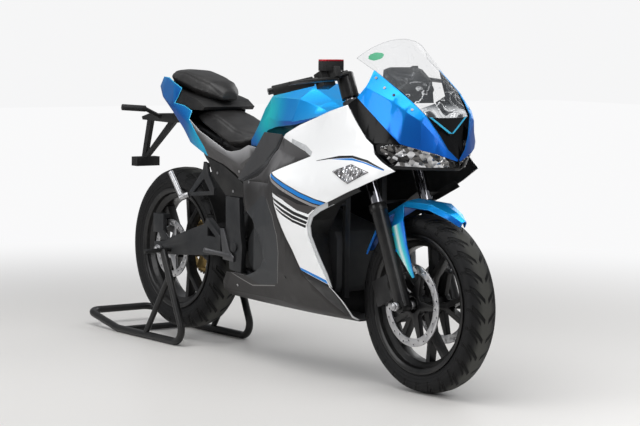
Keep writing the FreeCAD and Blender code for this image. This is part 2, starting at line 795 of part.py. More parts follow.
switch_box = block("switch_box", tuple(pod_middle - V(22, 24, 30)), tuple(pod_middle + V(20.5, 24, 22)))
lever_mount = block("lever_mount", tuple(pod_middle + V(20, -26, -16)), tuple(pod_middle + V(62, -2, 20)))
control_pod = cut("control_pod", join("control_body", switch_box, lever_mount), pod_hole)
# The reservoir stands level though the steering axis leans.
reservoir_plan = (
    (-20, -36),
    (-12, -44),
    (12, -44),
    (20, -36),
    (20, 36),
    (12, 44),
    (-12, 44),
    (-20, 36),
)
reservoir_cup = doc.addObject("Part::Compound", "reservoir_cup")
reservoir_cup.Links = [slab("reservoir_body", "plan", reservoir_plan, -14, 32)]
reservoir_cup.Placement = FreeCAD.Placement(pod_middle + V(32, -14, 30), FreeCAD.Rotation(V(0, 1, 0), size("rake")))
reservoir_right = doc.addObject("Part::Mirroring", "reservoir_right")
reservoir_right.Source = reservoir_cup
reservoir_right.Normal = V(0, 1, 0)
node("bar_controls", "steering", control_pod, join("right_control", mirror(control_pod), reservoir_right))
lever = slab(
    "lever_blade",
    "plan",
    (
        (leg_x + 30, pod_side - 18),
        (leg_x + 42, pod_side - 12),
        (leg_x + 34, pod_side + 46),
        (leg_x + 12, size("bar_reach") - 34),
        (leg_x + 2, size("bar_reach") - 8),
        (leg_x - 10, size("bar_reach") - 10),
        (leg_x + 1, size("bar_reach") - 40),
        (leg_x + 20, pod_side + 42),
        (leg_x + 22, pod_side + 6),
    ),
    pod_middle.z - 26.2,
    10,
)
node("levers", "steering", lever, mirror(lever))

# Front mudguard: a crowned strip round the tyre, with plates down the fork legs


def crown(name, angle, radius, half_width, wall):
    """One cross-section of the mudguard, square to the tyre."""
    out = V(math.cos(angle), 0, math.sin(angle))
    centre = V(leg_x, 0, 0)
    shape = ((1.0, -24), (0.78, -7), (0.0, 0), (-0.78, -7), (-1.0, -24))
    outer = [centre + out * (radius + drop) + V(0, half_width * share, 0) for share, drop in shape]
    inner = [centre + out * (radius + drop - wall) + V(0, (half_width - wall) * share, 0) for share, drop in shape]
    wire = doc.addObject("Part::Feature", name)
    wire.Shape = Part.makePolygon([*outer, *reversed(inner), outer[0]])
    return wire


# Angle up from straight ahead, outer radius beyond the tyre, half width
MUDGUARD = ((34, 44, 12), (42, 47, 32), (56, 51, 54), (76, 54, 63), (102, 46, 63), (127, 26, 58))
wall = size("fairing_wall")
guard_sections = [
    crown(f"mudguard_section_{index}", math.radians(angle), size("front_tyre_radius") + rise, half, wall)
    for index, (angle, rise, half) in enumerate(MUDGUARD)
]
mudguard = loft("mudguard", guard_sections)
plate_rows = ((318, 66, 112, 59), (288, 64, 120, 74), (262, 59.2, 124, 88), (180, 61.6, 119, 95), (72, 104, 112, 93))
leg_plate_sections = [
    outline(
        f"leg_plate_section_{index}",
        "plan",
        ((back, side), (front, side), (front, side + wall), (back, side + wall)),
        level,
    )
    for index, (level, back, front, side) in enumerate(plate_rows)
]
leg_plate = loft("leg_plate", leg_plate_sections)
node("front_fender", "steering", join("fender_moulding", mudguard, leg_plate, mirror(leg_plate)))

caliper_inside = size("front_disc_side") - 12
caliper_body = block("caliper_body", (leg_x - 146, caliper_inside, 40), (leg_x - 60, lug_in + 14, 128))
disc_slot = rod("disc_slot", size("front_disc_radius") + 6, (leg_x, disc_side - 5, 0), (leg_x, disc_side + thick + 5, 0))
star_room = rod("star_room", front_band + 5, (leg_x, caliper_inside - 1, 0), (leg_x, disc_side + thick, 0))
caliper = cut("caliper", caliper_body, join("caliper_gaps", disc_slot, star_room, caliper_lug))
node("front_calipers", "steering", caliper, mirror(caliper))

# The main fairing's form, as bulkheads along the bike.
# Each row: x, then height and half width at keel, chine, low, waist, crease, shoulder, top.
HULL = (
    (REAR + 370, (210, 55), (238, 92), (320, 106), (480, 116), (600, 118), (700, 118), (990, 112)),
    (REAR + 520, (208, 62), (238, 108), (330, 130), (480, 138), (640, 127), (740, 125), (990, 118)),
    (REAR + 620, (207, 66), (240, 118), (335, 148), (490, 152), (650, 146), (750, 138), (990, 122)),
    (REAR + 730, (206, 68), (240, 124), (342, 166), (500, 182), (660, 166), (770, 157), (990, 138)),
    (REAR + 860, (205, 70), (238, 124), (350, 186), (510, 212), (690, 228), (775, 186), (990, 160)),
    (FRONT - 360, (204, 62), (226, 104), (340, 194), (500, 230), (660, 240), (764, 214), (990, 176)),
    (FRONT - 205, (204, 56), (218, 88), (318, 178), (480, 222), (690, 232), (800, 208), (990, 184)),
    (FRONT - 40, (204, 56), (218, 88), (318, 176), (500, 212), (715, 202), (800, 194), (990, 172)),
    (FRONT + 80, (204, 50), (218, 80), (318, 150), (500, 180), (738, 166), (800, 166), (990, 140)),
)


def bulkhead(name, row, inset):
    station, *levels = row
    right = []
    for index, (height, half) in enumerate(levels):
        lift = inset if index < 2 else (-inset if index == len(levels) - 1 else 0)
        right.append((half - inset, height + lift))
    left = [(-y, z) for y, z in right]
    return outline(name, "cross", [*right, *reversed(left)], station)


def hull_form(name, inset):
    """The whole form, drawn in by inset all round."""
    sections = [bulkhead(f"{name}_{index}", row, inset) for index, row in enumerate(HULL)]
    return loft(name, sections, ruled=False)


hull_length = slab(
    "hull_length",
    "side",
    ((REAR + 371, 150), (FRONT + 79, 150), (FRONT + 79, 980), (REAR + 371, 980)),
    -300,
    600,
)


def hull_layer(name, outside, inside):
    """A shell of the form between two insets, open at both ends."""
    solid = cut(f"{name}_shell", hull_form(f"{name}_out", outside), hull_form(f"{name}_in", inside))
    return common(name, solid, hull_length)


skin = hull_layer("skin", 0, wall)

# Edges that neighbouring panels share, in side view.
WHITE_TOP = ((REAR + 872, 816), (REAR + 884, 829), (FRONT - 467, 863), (FRONT - 363, 895), (FRONT - 297, 917), (FRONT - 205, 941))
WHITE_NOSE = ((FRONT - 186, 922), (FRONT - 144, 881), (FRONT - 94, 835), (FRONT - 62, 817), (FRONT - 50, 787), (FRONT - 14, 762), (FRONT + 35, 737))
WHITE_MOUTH = (
    (FRONT - 25, 712),
    (FRONT - 101, 679),
    (FRONT - 160, 656),
    (FRONT - 227, 628),
    (FRONT - 304, 599),
    (FRONT - 348, 569),
    (FRONT - 364, 534),
    (FRONT - 360, 497),
    (FRONT - 338, 435),
    (FRONT - 309, 369),
    (FRONT - 290, 323),
    (FRONT - 279, 281),
    (FRONT - 282, 237),
    (FRONT - 288, 209),
)
MOUTH_LIP = 14
# The same edge, moved forward and down by the lip's width.
LIP_EDGE = (
    (FRONT - 15, 712 - MOUTH_LIP),
    (FRONT - 97, 679 - MOUTH_LIP),
    (FRONT - 155, 656 - MOUTH_LIP),
    (FRONT - 221, 628 - MOUTH_LIP),
    (FRONT - 294, 599 - MOUTH_LIP),
    (FRONT - 335, 562),
    (FRONT - 350, 532),
    (FRONT - 346, 499),
    (FRONT - 325, 439),
    (FRONT - 298, 374),
    (FRONT - 286, 326),
)
WHITE_REAR = (
    (FRONT - 300, 209),
    (FRONT - 318, 238),
    (FRONT - 350, 268),
    (FRONT - 381, 310),
    (FRONT - 405, 342),
    (FRONT - 430, 374),
    (REAR + 972, 439),
    (REAR + 936, 484),
    (REAR + 897, 542),
    (REAR + 874, 585),
    (REAR + 861, 636),
    (REAR + 848, 687),
)
WHITE_STEP = ((REAR + 869, 698), (REAR + 965, 731), (FRONT - 369, 764), (FRONT - 408, 779))


def panel(name, corners):
    """The skin inside one side-view outline, on both sides of the bike."""
    return common(name, skin, slab(f"{name}_cutter", "side", corners, -300, 600))


white_corners = [*WHITE_TOP, *WHITE_NOSE, *WHITE_MOUTH, *WHITE_REAR, *WHITE_STEP]
node("white_fairings", "bike", panel("white_panel", white_corners))

# The lip that returns round the mouth lies just under the white panel's edge.
lip_clearance = 0.3
lip_skin = hull_layer("lip_skin", wall + lip_clearance, 2 * wall + lip_clearance)
lip_back = [(x - 26, z + 4) for x, z in WHITE_MOUTH[1 : len(LIP_EDGE) - 1]]
lip_cutter = slab("lip_cutter", "side", [*LIP_EDGE[1:], *reversed(lip_back)], -300, 600)
bracket_room = rod("bracket_room", 6.3, (FRONT - 344, -300, 600), (FRONT - 344, 300, 600))
mouth_lip = cut("mouth_lip", common("mouth_lip_band", lip_skin, lip_cutter), bracket_room)
node("mouth_lips", "bike", mouth_lip)
BAND_INNER = (WHITE_TOP[0], (REAR + 839, 771), (REAR + 760, 710), (REAR + 670, 666), (REAR + 568, 641))
BAND_OUTER = ((REAR + 535, 645), (REAR + 618, 673), (REAR + 731, 719), (REAR + 817, 776), (REAR + 856, 826))
node("fairing_bands", "bike", panel("band_panel", [*BAND_INNER, *BAND_OUTER]))
MID_LOW = ((REAR + 612, 646), (REAR + 800, 652))
mid_corners = [BAND_INNER[0], *reversed(WHITE_STEP), WHITE_REAR[-1], *reversed(MID_LOW), *reversed(BAND_INNER[1:])]
node("mid_panels", "bike", panel("mid_panel", mid_corners))
BELLY_REAR = (
    (REAR + 386, 200),
    (REAR + 384, 262),
    (REAR + 421, 302),
    (REAR + 475, 306),
    (REAR + 583, 307),
    (REAR + 671, 332),
    (REAR + 717, 356),
    (REAR + 743, 384),
    (REAR + 739, 419),
    (REAR + 711, 465),
    (REAR + 656, 514),
    (REAR + 600, 538),
    (REAR + 572, 570),
)
belly_corners = [*BELLY_REAR, BAND_INNER[-1], *MID_LOW, *reversed(WHITE_REAR), WHITE_MOUTH[-1], (FRONT - 288, 200)]
node("belly_pan", "bike", panel("belly_panel", belly_corners))
diagonal = panel(
    "diagonal_panel",
    [(REAR + 515, 648), (REAR + 644, 766), (REAR + 706, 826), (REAR + 856, 826), *reversed(BAND_OUTER[:-1])],
)
node("diagonal_panels", "bike", diagonal)

# Lamp set into each white panel
SIDE_LAMP = ((FRONT - 232, 723), (FRONT - 143, 751), (FRONT - 62, 729), (FRONT - 149, 686))
lamp_skin = hull_layer("lamp_skin", -3, -0.2)
side_lamp_cutter = slab("side_lamp_cutter", "side", SIDE_LAMP, -300, 600)
node("side_lamps", "bike", common("side_lamp", lamp_skin, side_lamp_cutter))

# Duct walls from the mouth's lip in to the battery. Each row: height, then x and half width at the lip and inside.
DUCT = (
    (330, FRONT - 297, 181, FRONT - 350, 128),
    (384, FRONT - 325, 197, FRONT - 360, 128),
    (440, FRONT - 350, 207, FRONT - 372, 128),
    (495, FRONT - 371, 216, FRONT - 382, 128),
    (550, FRONT - 366, 222, FRONT - 346, 128),
    (596, FRONT - 310, 224, FRONT - 306, 134),
    (640, FRONT - 208, 220, FRONT - 240, 142),
)
duct_sections = [
    outline(
        f"duct_{index}",
        "plan",
        ((lip_x, -lip_y), (in_x, -in_y), (in_x - wall, -in_y), (lip_x - wall, -lip_y)),
        height,
    )
    for index, (height, lip_x, lip_y, in_x, in_y) in enumerate(DUCT)
]
duct = cut("duct_wall", loft("duct", duct_sections), join("duct_room", bracket_room, mouth_lip))
node("inner_ducts", "bike", duct, mirror(duct))

# Tail: the same idea. Each row: x, then height and half width at the lower, middle and upper edge.
TAIL = (
    (REAR - 92, (860, 60), (940, 78), (1010, 76)),
    (REAR + 60, (790, 86), (890, 113), (1000, 106)),
    (REAR + 190, (690, 98), (830, 125), (960, 118)),
    (REAR + 310, (640, 104), (760, 122), (940, 112)),
    (REAR + 520, (600, 112), (700, 123), (940, 116)),
    (REAR + 660, (600, 116), (760, 127), (940, 118)),
)


def tail_bulkhead(name, row, inset):
    station, *levels = row
    right = [(half - inset, height) for height, half in levels]
    left = [(-y, z) for y, z in right]
    return outline(name, "cross", [*right, *reversed(left)], station)


tail_form = loft("tail_form", [tail_bulkhead(f"tail_{index}", row, 0) for index, row in enumerate(TAIL)])
tail_hollow = loft("tail_hollow", [tail_bulkhead(f"tail_hollow_{index}", row, wall) for index, row in enumerate(TAIL)])
tail_skin = cut("tail_skin", tail_form, tail_hollow)


def tail_panel(name, corners):
    return common(name, tail_skin, slab(f"{name}_cutter", "side", corners, -300, 600))


TAIL_UNDER = (
    (REAR + 303, 717),
    (REAR + 254, 733),
    (REAR + 176, 762),
    (REAR + 128, 811),
    (REAR + 44, 873),
    (REAR - 48, 921),
    (REAR - 80, 962),
)
TAIL_UPPER = (
    (REAR - 44, 1000),
    (REAR + 9, 998),
    (REAR + 122, 961),
    (REAR + 95, 925),
    (REAR + 74, 905),
    (REAR + 151, 897),
    (REAR + 205, 880),
    (REAR + 190, 849),
)
node("tail_fairings", "bike", tail_panel("tail_side", [*TAIL_UNDER, *TAIL_UPPER, (REAR + 282, 750)]))
SEAT_EDGE = (
    (REAR + 190, 849),
    (REAR + 255, 809),
    (REAR + 324, 783),
    (REAR + 429, 745),
    (REAR + 462, 743),
    (REAR + 520, 752),
    (REAR + 572, 772),
    (REAR + 640, 765),
)
SEAT_PANEL_UNDER = (
    (REAR + 511, 648),
    (REAR + 488, 664),
    (REAR + 404, 695),
    (REAR + 305, 716),
    (REAR + 284, 750),
)
node("seat_side_panels", "bike", tail_panel("seat_side", [*SEAT_EDGE, *SEAT_PANEL_UNDER]))

# Seats. Each row: x, half width, height of base, of side edge and of top.
RIDER_SEAT = (
    (REAR + 176, 94, 853, 862, 878),
    (REAR + 250, 113, 818, 838, 882),
    (REAR + 330, 117, 788, 810, 860),
    (REAR + 430, 118, 752, 778, 824),
    (REAR + 500, 106, 754, 784, 812),
    (REAR + 556, 72, 778, 800, 812),
)
PILLION_SEAT = (
    (REAR - 58, 48, 984, 998, 1010),
    (REAR - 20, 78, 972, 1003, 1026),
    (REAR + 60, 96, 956, 988, 1024),
    (REAR + 150, 96, 938, 966, 1007),
    (REAR + 232, 80, 921, 948, 986),
    (REAR + 284, 42, 913, 929, 950),
)
seat_clearance = 0.3


def base_of(rows, x):
    """Height of a cushion's flat base at x."""
    for (x1, _, low1, _, _), (x2, _, low2, _, _) in zip(rows, rows[1:]):
        if x1 <= x <= x2:
            return low1 + (x - x1) / (x2 - x1) * (low2 - low1)
    raise ValueError(f"no cushion at {x}")


core_under = (
    (REAR - 72, 962),
    (REAR - 70, 946),
    (REAR + 40, 891.8),
    (REAR + 140, 891.8),
    (REAR + 200, 884),
    (REAR + 262, 884),
    (REAR + 276, 896),
)
pillion_rest = [(x, low - seat_clearance) for x, _, low, _, _ in reversed(PILLION_SEAT[:-1])]
core_top = slab("core_top", "side", [*core_under, *pillion_rest], -300, 600)
TRAY = (
    (REAR + 190, 758),
    (REAR + 178, 762),
    (REAR + 129, 812),
    (REAR + 44, 874),
    (REAR - 58, 922),
    (REAR - 84, 956),
)
tray_inner = [(x + 3, z + 4) for x, z in reversed(TRAY)]
core_tray = slab("core_tray", "side", [*TRAY, *tray_inner], -300, 600)
tail_inside = loft("tail_inside", [tail_bulkhead(f"tail_inside_{index}", row, wall + 0.5) for index, row in enumerate(TAIL)])
node("tail_core", "bike", common("tail_middle", tail_inside, join("core_outline", core_top, core_tray)))


def seat_section(name, station, half, low, side, top):
    """A cushion's cross-section: flat base, side edge, crowned top."""
    corners = (
        (-half * 0.7, low),
        (half * 0.7, low),
        (half, side),
        (half * 0.72, top - 4),
        (0, top),
        (-half * 0.72, top - 4),
        (-half, side),
    )
    return outline(name, "cross", corners, station)


for label, rows in (("rider_seat", RIDER_SEAT), ("pillion_seat", PILLION_SEAT)):
    sections = [seat_section(f"{label}_{index}", *row) for index, row in enumerate(rows)]
    node(label, "bike", loft(f"{label}_cushion", sections))


# Tank cover. Each row: x, then half width and height from the middle of the top down to the sill.
TANK = (
    (REAR + 574, ((1, 806), (70, 804), (100, 800), (110, 790), (110, 770))),
    (REAR + 642, ((1, 925), (62, 920), (98, 905), (121, 850), (122, 772))),
    (REAR + 706, ((1, 1000), (66, 992), (115, 948), (132, 880), (132, 832))),
    (REAR + 780, ((1, 1013), (72, 1003), (128, 950), (150, 868), (148, 848))),
    (REAR + 900, ((1, 1000), (76, 990), (136, 948), (168, 872), (164, 860))),
    (FRONT - 430, ((1, 952), (76, 947), (136, 926), (172, 888), (168, 878))),
    (FRONT - 368, ((1, 908), (70, 908), (130, 906), (172, 900), (168, 890))),
)
tank_sections = []
for index, (station, levels) in enumerate(TANK):
    right = list(levels)
    left = [(-y, z) for y, z in right]
    tank_sections.append(outline(f"tank_{index}", "cross", [*right, *reversed(left)], station))
node("tank_cover", "bike", loft("tank_form", tank_sections))


def strip(name, rows, inward):
    """A moulded panel on the right side. Each row is x, then the Y and Z of its outer face from top to bottom."""
    sections = []
    for index, (station, *edge) in enumerate(rows):
        outer = list(edge)
        inner = [(y + inward, z) for y, z in edge]
        sections.append(outline(f"{name}_{index}", "cross", [*outer, *reversed(inner)], station))
    return loft(name, sections)


# Nose panel, right side: top edge along the screen, a crease, bottom edge over the lamp.
NOSE = (
    (FRONT - 150, (-187, 972), (-188.5, 970), (-190, 967)),
    (FRONT - 131, (-156, 1016), (-174, 1000), (-189, 954)),
    (FRONT - 127, (-141, 1056), (-172, 1001), (-188, 950)),
    (FRONT - 10, (-125, 989), (-153, 957), (-170, 861)),
    (FRONT + 37, (-112, 956), (-140, 928), (-160, 825)),
    (FRONT + 84, (-97, 917), (-111, 897), (-115, 807)),
    (FRONT + 116, (-63, 852), (-66, 838), (-75, 795)),
    (FRONT + 129, (-40, 808), (-42, 800), (-45, 784)),
    (FRONT + 141, (-7, 776), (-8, 774), (-9, 771)),
)
nose = strip("nose_side", NOSE, 5)
node("nose_panels", "bike", nose, mirror(nose))
BAND = (
    (FRONT - 198, (-187, 946), (-188, 942)),
    (FRONT - 152, (-188, 968), (-192, 892)),
    (FRONT - 94, (-182, 924), (-192, 840)),
    (FRONT - 62, (-178, 900), (-191, 823)),
    (FRONT + 0, (-168, 853), (-178, 825)),
    (FRONT + 34, (-160, 826.5), (-162, 821)),
)
nose_band = strip("nose_band", BAND, 4)
node("nose_bands", "bike", nose_band, mirror(nose_band))
LAMP = (
    (FRONT - 38, (-180, 812), (-178, 797)),
    (FRONT - 9, (-168, 820), (-150, 752)),
    (FRONT + 35, (-151, 821), (-118, 751)),
    (FRONT + 85, (-108, 805), (-76, 749)),
    (FRONT + 120, (-69, 792), (-48, 751)),
    (FRONT + 134, (-38, 770), (-35, 754)),
)
lamp = strip("lamp", LAMP, 26)
node("headlamps", "bike", lamp, mirror(lamp))
SURROUND = (
    (FRONT - 56, (-184, 817), (-182, 792)),
    (FRONT - 22, (-170, 828), (-150, 749)),
    (FRONT + 35, (-149, 826), (-116, 749)),
    (FRONT + 85, (-106, 806), (-74, 749)),
    (FRONT + 120, (-68, 789), (-45, 749)),
    (FRONT + 138, (-28, 768), (-24, 750)),
)
surround = cut("surround", strip("surround_strip", SURROUND, 8), lamp)

# Black centre of the nose, between the two panels and under the screen. Each row: y, top edge, bottom edge.
CENTRE = (
    (73, (FRONT + 74, 905), (FRONT + 75, 903)),
    (41.5, (FRONT + 84, 880), (FRONT + 112, 822)),
    (23.5, (FRONT + 92, 866), (FRONT + 127, 785)),
    (0, (FRONT + 98, 850), (FRONT + 142, 771)),
)
centre_rows = [*CENTRE, *((-y, top, low) for y, top, low in reversed(CENTRE[:-1]))]
centre_sections = [
    outline(
        f"centre_{index}",
        "side",
        ((top[0], top[1]), (low[0], low[1]), (low[0] - 7, low[1] - 1), (top[0] - 7, top[1] - 2)),
        y,
    )
    for index, (y, top, low) in enumerate(centre_rows)
]
node("nose_centre", "bike", loft("centre_panel", centre_sections))

# Chin below the lamps. Each row: height, then x and half width of its rear, lamp corner and tip.
CHIN = ((748.7, FRONT - 20, 150, FRONT + 60, 96, FRONT + 142, 12), (740, FRONT - 24, 148, FRONT + 54, 92, FRONT + 134, 12))
chin_sections = [
    outline(f"chin_{index}", "plan", ((rx, -rw), (mx, -mw), (tx, -tw), (tx, tw), (mx, mw), (rx, rw)), height)
    for index, (height, rx, rw, mx, mw, tx, tw) in enumerate(CHIN)
]
node("chin", "bike", loft("chin_panel", chin_sections))

# Windscreen. Each row: edge x, half width, edge height, then x and height of the middle.
SCREEN = (
    (FRONT - 207, 150, 1095, FRONT - 153, 1160),
    (FRONT - 130, 136, 1056, FRONT - 66, 1096),
    (FRONT - 8, 117, 992, FRONT + 22, 1012),
    (FRONT + 84, 84, 911, FRONT + 94, 908),
)
SCREEN_FOOT = (SCREEN[-1], (FRONT + 104, 8, 858, FRONT + 105, 858.5))


def screen_section(name, x, half, z, mid_x, mid_z):
    """A bowed slice of the screen, its ends on the nose panels."""
    right, middle, left = V(x, -half, z), V(mid_x, 0, mid_z), V(x, half, z)
    inward = (V(x, 0, z) - middle).normalize() * size("screen_wall")
    wire = doc.addObject("Part::Feature", name)
    outer = Part.Arc(right, middle, left).toShape()
    inner = Part.Arc(left + inward, middle + inward, right + inward).toShape()
    wire.Shape = Part.Wire([outer, Part.makeLine(left, left + inward), inner, Part.makeLine(right + inward, right)])
    return wire


screen, screen_foot = (
    loft(label, [screen_section(f"{label}_{index}", *row) for index, row in enumerate(rows)])
    for label, rows in (("screen", SCREEN), ("screen_foot", SCREEN_FOOT))
)
node("windscreen", "bike", screen)
node("nose_trim", "bike", surround, mirror(surround), screen_foot)

# Dash and the stay that carries the nose on the head tube
DASH = (
    (FRONT - 185, 52, 985, 1040),
    (FRONT - 150, 92, 965, 1066),
    (FRONT - 90, 84, 952, 1030),
    (FRONT - 60, 60, 950, 996),
)
dash_sections = [
    outline(f"dash_{index}", "cross", ((-half, low), (half, low), (half * 0.9, high - 8), (half * 0.6, high), (-half * 0.6, high), (-half * 0.9, high - 8)), x)
    for index, (x, half, low, high) in enumerate(DASH)
]
node("dash", "bike", loft("dash_housing", dash_sections))

stay_parts = [
    slab(
        "stay_beam",
        "side",
        ((FRONT - 262, head_z - 31.5), (FRONT - 262, head_z + 10.5), (FRONT + 40, 800), (FRONT + 40, 774)),
        -16,
        32,
    ),
    slab("stay_post", "side", ((FRONT - 150, 800), (FRONT - 110, 800), (FRONT - 110, 956), (FRONT - 150, 964.7)), -12, 24),
    block("stay_cross", (FRONT + 26, -98.7, 774), (FRONT + 40, 98.7, 788)),
]
head_space = rod("head_space", 28.3, on_steering_axis(head_low - 40), on_steering_axis(head_high + 40))
node("fairing_stay", "bike", cut("stay_fitted", join("stay_welded", *stay_parts), head_space))

# Subframe, covers and pegs on the right, mirrored to the left
rail_side = 88
rail = bent_tube(
    "rail",
    9,
    ((REAR + 448, rail_side, 574), (REAR + 262, rail_side, 714), (REAR + 164, 82, 820), (REAR + 59, 74, 884)),
    (120, 80),
)
top_rail = bent_tube(
    "top_rail",
    9,
    ((pivot_x + 214, rail_side, pivot_z + 318), (REAR + 430, 64, 740), (REAR + 132, 79, 835.6)),
    (200,),
)
seat_stop = (REAR + 330, REAR + 346)
seat_rest = block(
    "seat_rest",
    (seat_stop[0], 64, 764),
    (seat_stop[1], 80, base_of(RIDER_SEAT, seat_stop[1]) - seat_clearance),
)
upper_rail = join("upper_rail_set", cut("upper_rail", top_rail, spar), seat_rest)
half_subframe = join("half_subframe", cut("lower_rail", rail, spar), upper_rail)
node("subframe", "bike", half_subframe, mirror(half_subframe))

cover_outside = 117
cover = slab(
    "cover",
    "side",
    (
        (REAR + 305, 712),
        (REAR + 401, 692),
        (REAR + 502, 648),
        (REAR + 545, 628),
        (REAR + 556, 598),
        (REAR + 528, 582),
        (REAR + 425, 582),
        (REAR + 339, 650),
    ),
    -cover_outside,
    5,
)
cover_boss = rod("cover_boss", 4, (REAR + 370, 4 - cover_outside, 632.7), (REAR + 370, -rail_side - 9.3, 632.7))
cover_set = join("cover_set", cover, cover_boss)
node("frame_covers", "bike", cover_set, mirror(cover_set))

peg_bracket = slab("peg_bracket", "side", ((REAR + 168, 560), (REAR + 352, 578), (REAR + 352, 602), (REAR + 314, 652), (REAR + 304, 690), (REAR + 284, 696), (REAR + 278, 664)), -120, 12)
peg_boss = rod("peg_boss", 8, (REAR + 294, -110, 684), (REAR + 294, -rail_side - 9.3, 684))
peg_gap = slab("peg_gap", "side", ((REAR + 216, 580), (REAR + 326, 590), (REAR + 286, 634)), -130, 30)
peg_frame = cut("peg_frame", peg_bracket, peg_gap)
folded_peg = rod("folded_peg", 10, (REAR + 158, -131, 553), (REAR + 102, -148, 648))
peg_pin = rod("peg_pin", 12, (REAR + 178, -116, 566), (REAR + 156, -140, 553))
pillion = join("pillion_peg", peg_frame, peg_boss, folded_peg, peg_pin)
node("pillion_pegs", "bike", pillion, mirror(pillion))

rider_peg = rod("rider_peg_bar", 9, (pivot_x - 22, -plate_inside - 24, pivot_z - 34), (pivot_x - 52, -216, pivot_z - 10))
heel_plate = slab("heel_plate", "side", ((pivot_x - 64, pivot_z - 50), (pivot_x + 2, pivot_z - 54), (pivot_x + 4, pivot_z - 34), (pivot_x - 26, pivot_z - 14), (pivot_x - 62, pivot_z + 62), (pivot_x - 84, pivot_z + 62)), -plate_inside - 28, 8)
rider_set = join("rider_peg", rider_peg, heel_plate)
node("rider_pegs", "bike", rider_set, mirror(rider_set))

# Rear mudguard close over the tyre
hugger_in = size("rear_tyre_radius") + 14
hugger_ring = turned("hugger_ring", [(hugger_in, -72), (hugger_in + wall, -72), (hugger_in + wall, 72), (hugger_in, 72)])
hugger_ring.Placement = FreeCAD.Placement(V(REAR, 0, REAR_AXLE_Z), FreeCAD.Rotation())
hugger_window = slab("hugger_window", "side", ((REAR, REAR_AXLE_Z), (REAR + 420, REAR_AXLE_Z + 104), (REAR + 420, REAR_AXLE_Z + 420), (REAR + 190, REAR_AXLE_Z + 420)), -90, 180)
hugger_tab = block("hugger_tab", (REAR + 294, 70, 453), (REAR + 310, arm_inside, 466))
node("rear_hugger", "bike", join("hugger_set", common("hugger", hugger_ring, hugger_window), hugger_tab, mirror(hugger_tab)))

# Plate holder and lamps
holder_half = 45


def under_tray(x):
    """Height of the tray's underside at x, less the seat's clearance."""
    (x1, z1), (x2, z2) = TRAY[3], TRAY[4]
    return z1 + (x - x1) / (x2 - x1) * (z2 - z1) - seat_clearance


holder_top = slab(
    "holder_top",
    "side",
    (
        (REAR - 268, 838),
        (REAR - 215, 852),
        (REAR - 40, 858),
        (REAR - 20, under_tray(REAR - 20)),
        (REAR + 26, under_tray(REAR + 26)),
        (REAR + 26, 842),
        (REAR - 8, 826),
        (REAR - 60, 822),
        (REAR - 262, 826),
    ),
    -holder_half,
    2 * holder_half,
)
rear_strut = slab("rear_strut", "side", ((REAR - 286, 826), (REAR - 256, 826), (REAR - 302, 676), (REAR - 326, 676)), -8, 16)
front_strut = slab("front_strut", "side", ((REAR - 130, 824), (REAR - 88, 824), (REAR - 290, 676), (REAR - 314, 676)), -8, 16)
plate_box = block("plate_box", (REAR - 330, -52, 642), (REAR - 288, 52, 678))
node("plate_holder", "bike", join("holder", holder_top, rear_strut, front_strut, plate_box))
stalk = rod("stalk", 8, (REAR - 127, -holder_half - 4.1, 843), (REAR - 140, -110, 874))
signal = rod("signal", 12, (REAR - 140, -108, 874), (REAR - 160, -200, 880))
signal_set = join("signal_set", stalk, signal)
node("rear_indicators", "bike", signal_set, mirror(signal_set))
tail_lamp = slab("tail_lamp_lens", "side", ((REAR - 97, 950), (REAR - 84.4, 955.6), (REAR - 58.4, 921.6), (REAR - 67, 911)), -54, 108)
node("tail_lamp", "bike", tail_lamp)

# Rear brake caliper, over the disc above the axle
rear_caliper = block("rear_caliper_body", (REAR - 96, -arm_inside + 1, REAR_AXLE_Z + 56), (REAR - 26, rear_disc_side + 12, REAR_AXLE_Z + 128))
rear_slot = rod("rear_slot", size("rear_disc_radius") + 6, (REAR, rear_disc_side - 5, REAR_AXLE_Z), (REAR, rear_disc_side + thick + 5, REAR_AXLE_Z))
rear_star_room = rod("rear_star_room", size("rear_disc_radius") - 16, (REAR, rear_disc_side, REAR_AXLE_Z), (REAR, rear_disc_side + 20, REAR_AXLE_Z))
caliper_arm = slab("caliper_arm", "side", ((REAR - 60, REAR_AXLE_Z + 60), (REAR - 30, REAR_AXLE_Z + 70), (REAR + 20, REAR_AXLE_Z + 22), (REAR - 30, REAR_AXLE_Z + 18)), -arm_inside + 0.3, 8)
node("rear_caliper", "bike", join("rear_caliper_set", cut("rear_caliper_cut", rear_caliper, join("rear_caliper_gaps", rear_slot, rear_star_room)), caliper_arm))

# Paddock stand: one bent tube from hook to hook, with a cross bar, braces and pins
stand_r = size("stand_tube_radius")
stand_side = size("stand_half_width")
handle_x = REAR - size("handle_reach") + stand_r
hook = (REAR + 66, REAR_AXLE_Z + 2)
foot_front = REAR + 222
right_half = (
    (hook[0], -stand_side, hook[1]),
    (foot_front, -stand_side, stand_r),
    (REAR - 262, -stand_side, stand_r),
    (handle_x, -stand_side + 6, stand_r + 42),
)
left_half = [(x, -y, z) for x, y, z in reversed(right_half)]
stand_tube = bent_tube("stand_tube", stand_r, [*right_half, *left_half], (48, 160, 48, 48, 160, 48))
cross_bar = rod("stand_cross_bar", stand_r - 2, (REAR - 220, -stand_side, stand_r), (REAR - 220, stand_side, stand_r))
brace_top = 0.72
brace = rod(
    "stand_brace",
    11,
    (REAR - 58, -stand_side, stand_r),
    (foot_front + brace_top * (hook[0] - foot_front), -stand_side, stand_r + brace_top * (hook[1] - stand_r)),
)
pin = rod("hook_pin", 8, (hook[0], -stand_side - 82, hook[1]), (hook[0], -arm_outside - 0.3, hook[1]))
node("paddock_stand", "bike", join("stand", stand_tube, cross_bar, brace, mirror(brace), pin, mirror(pin)))

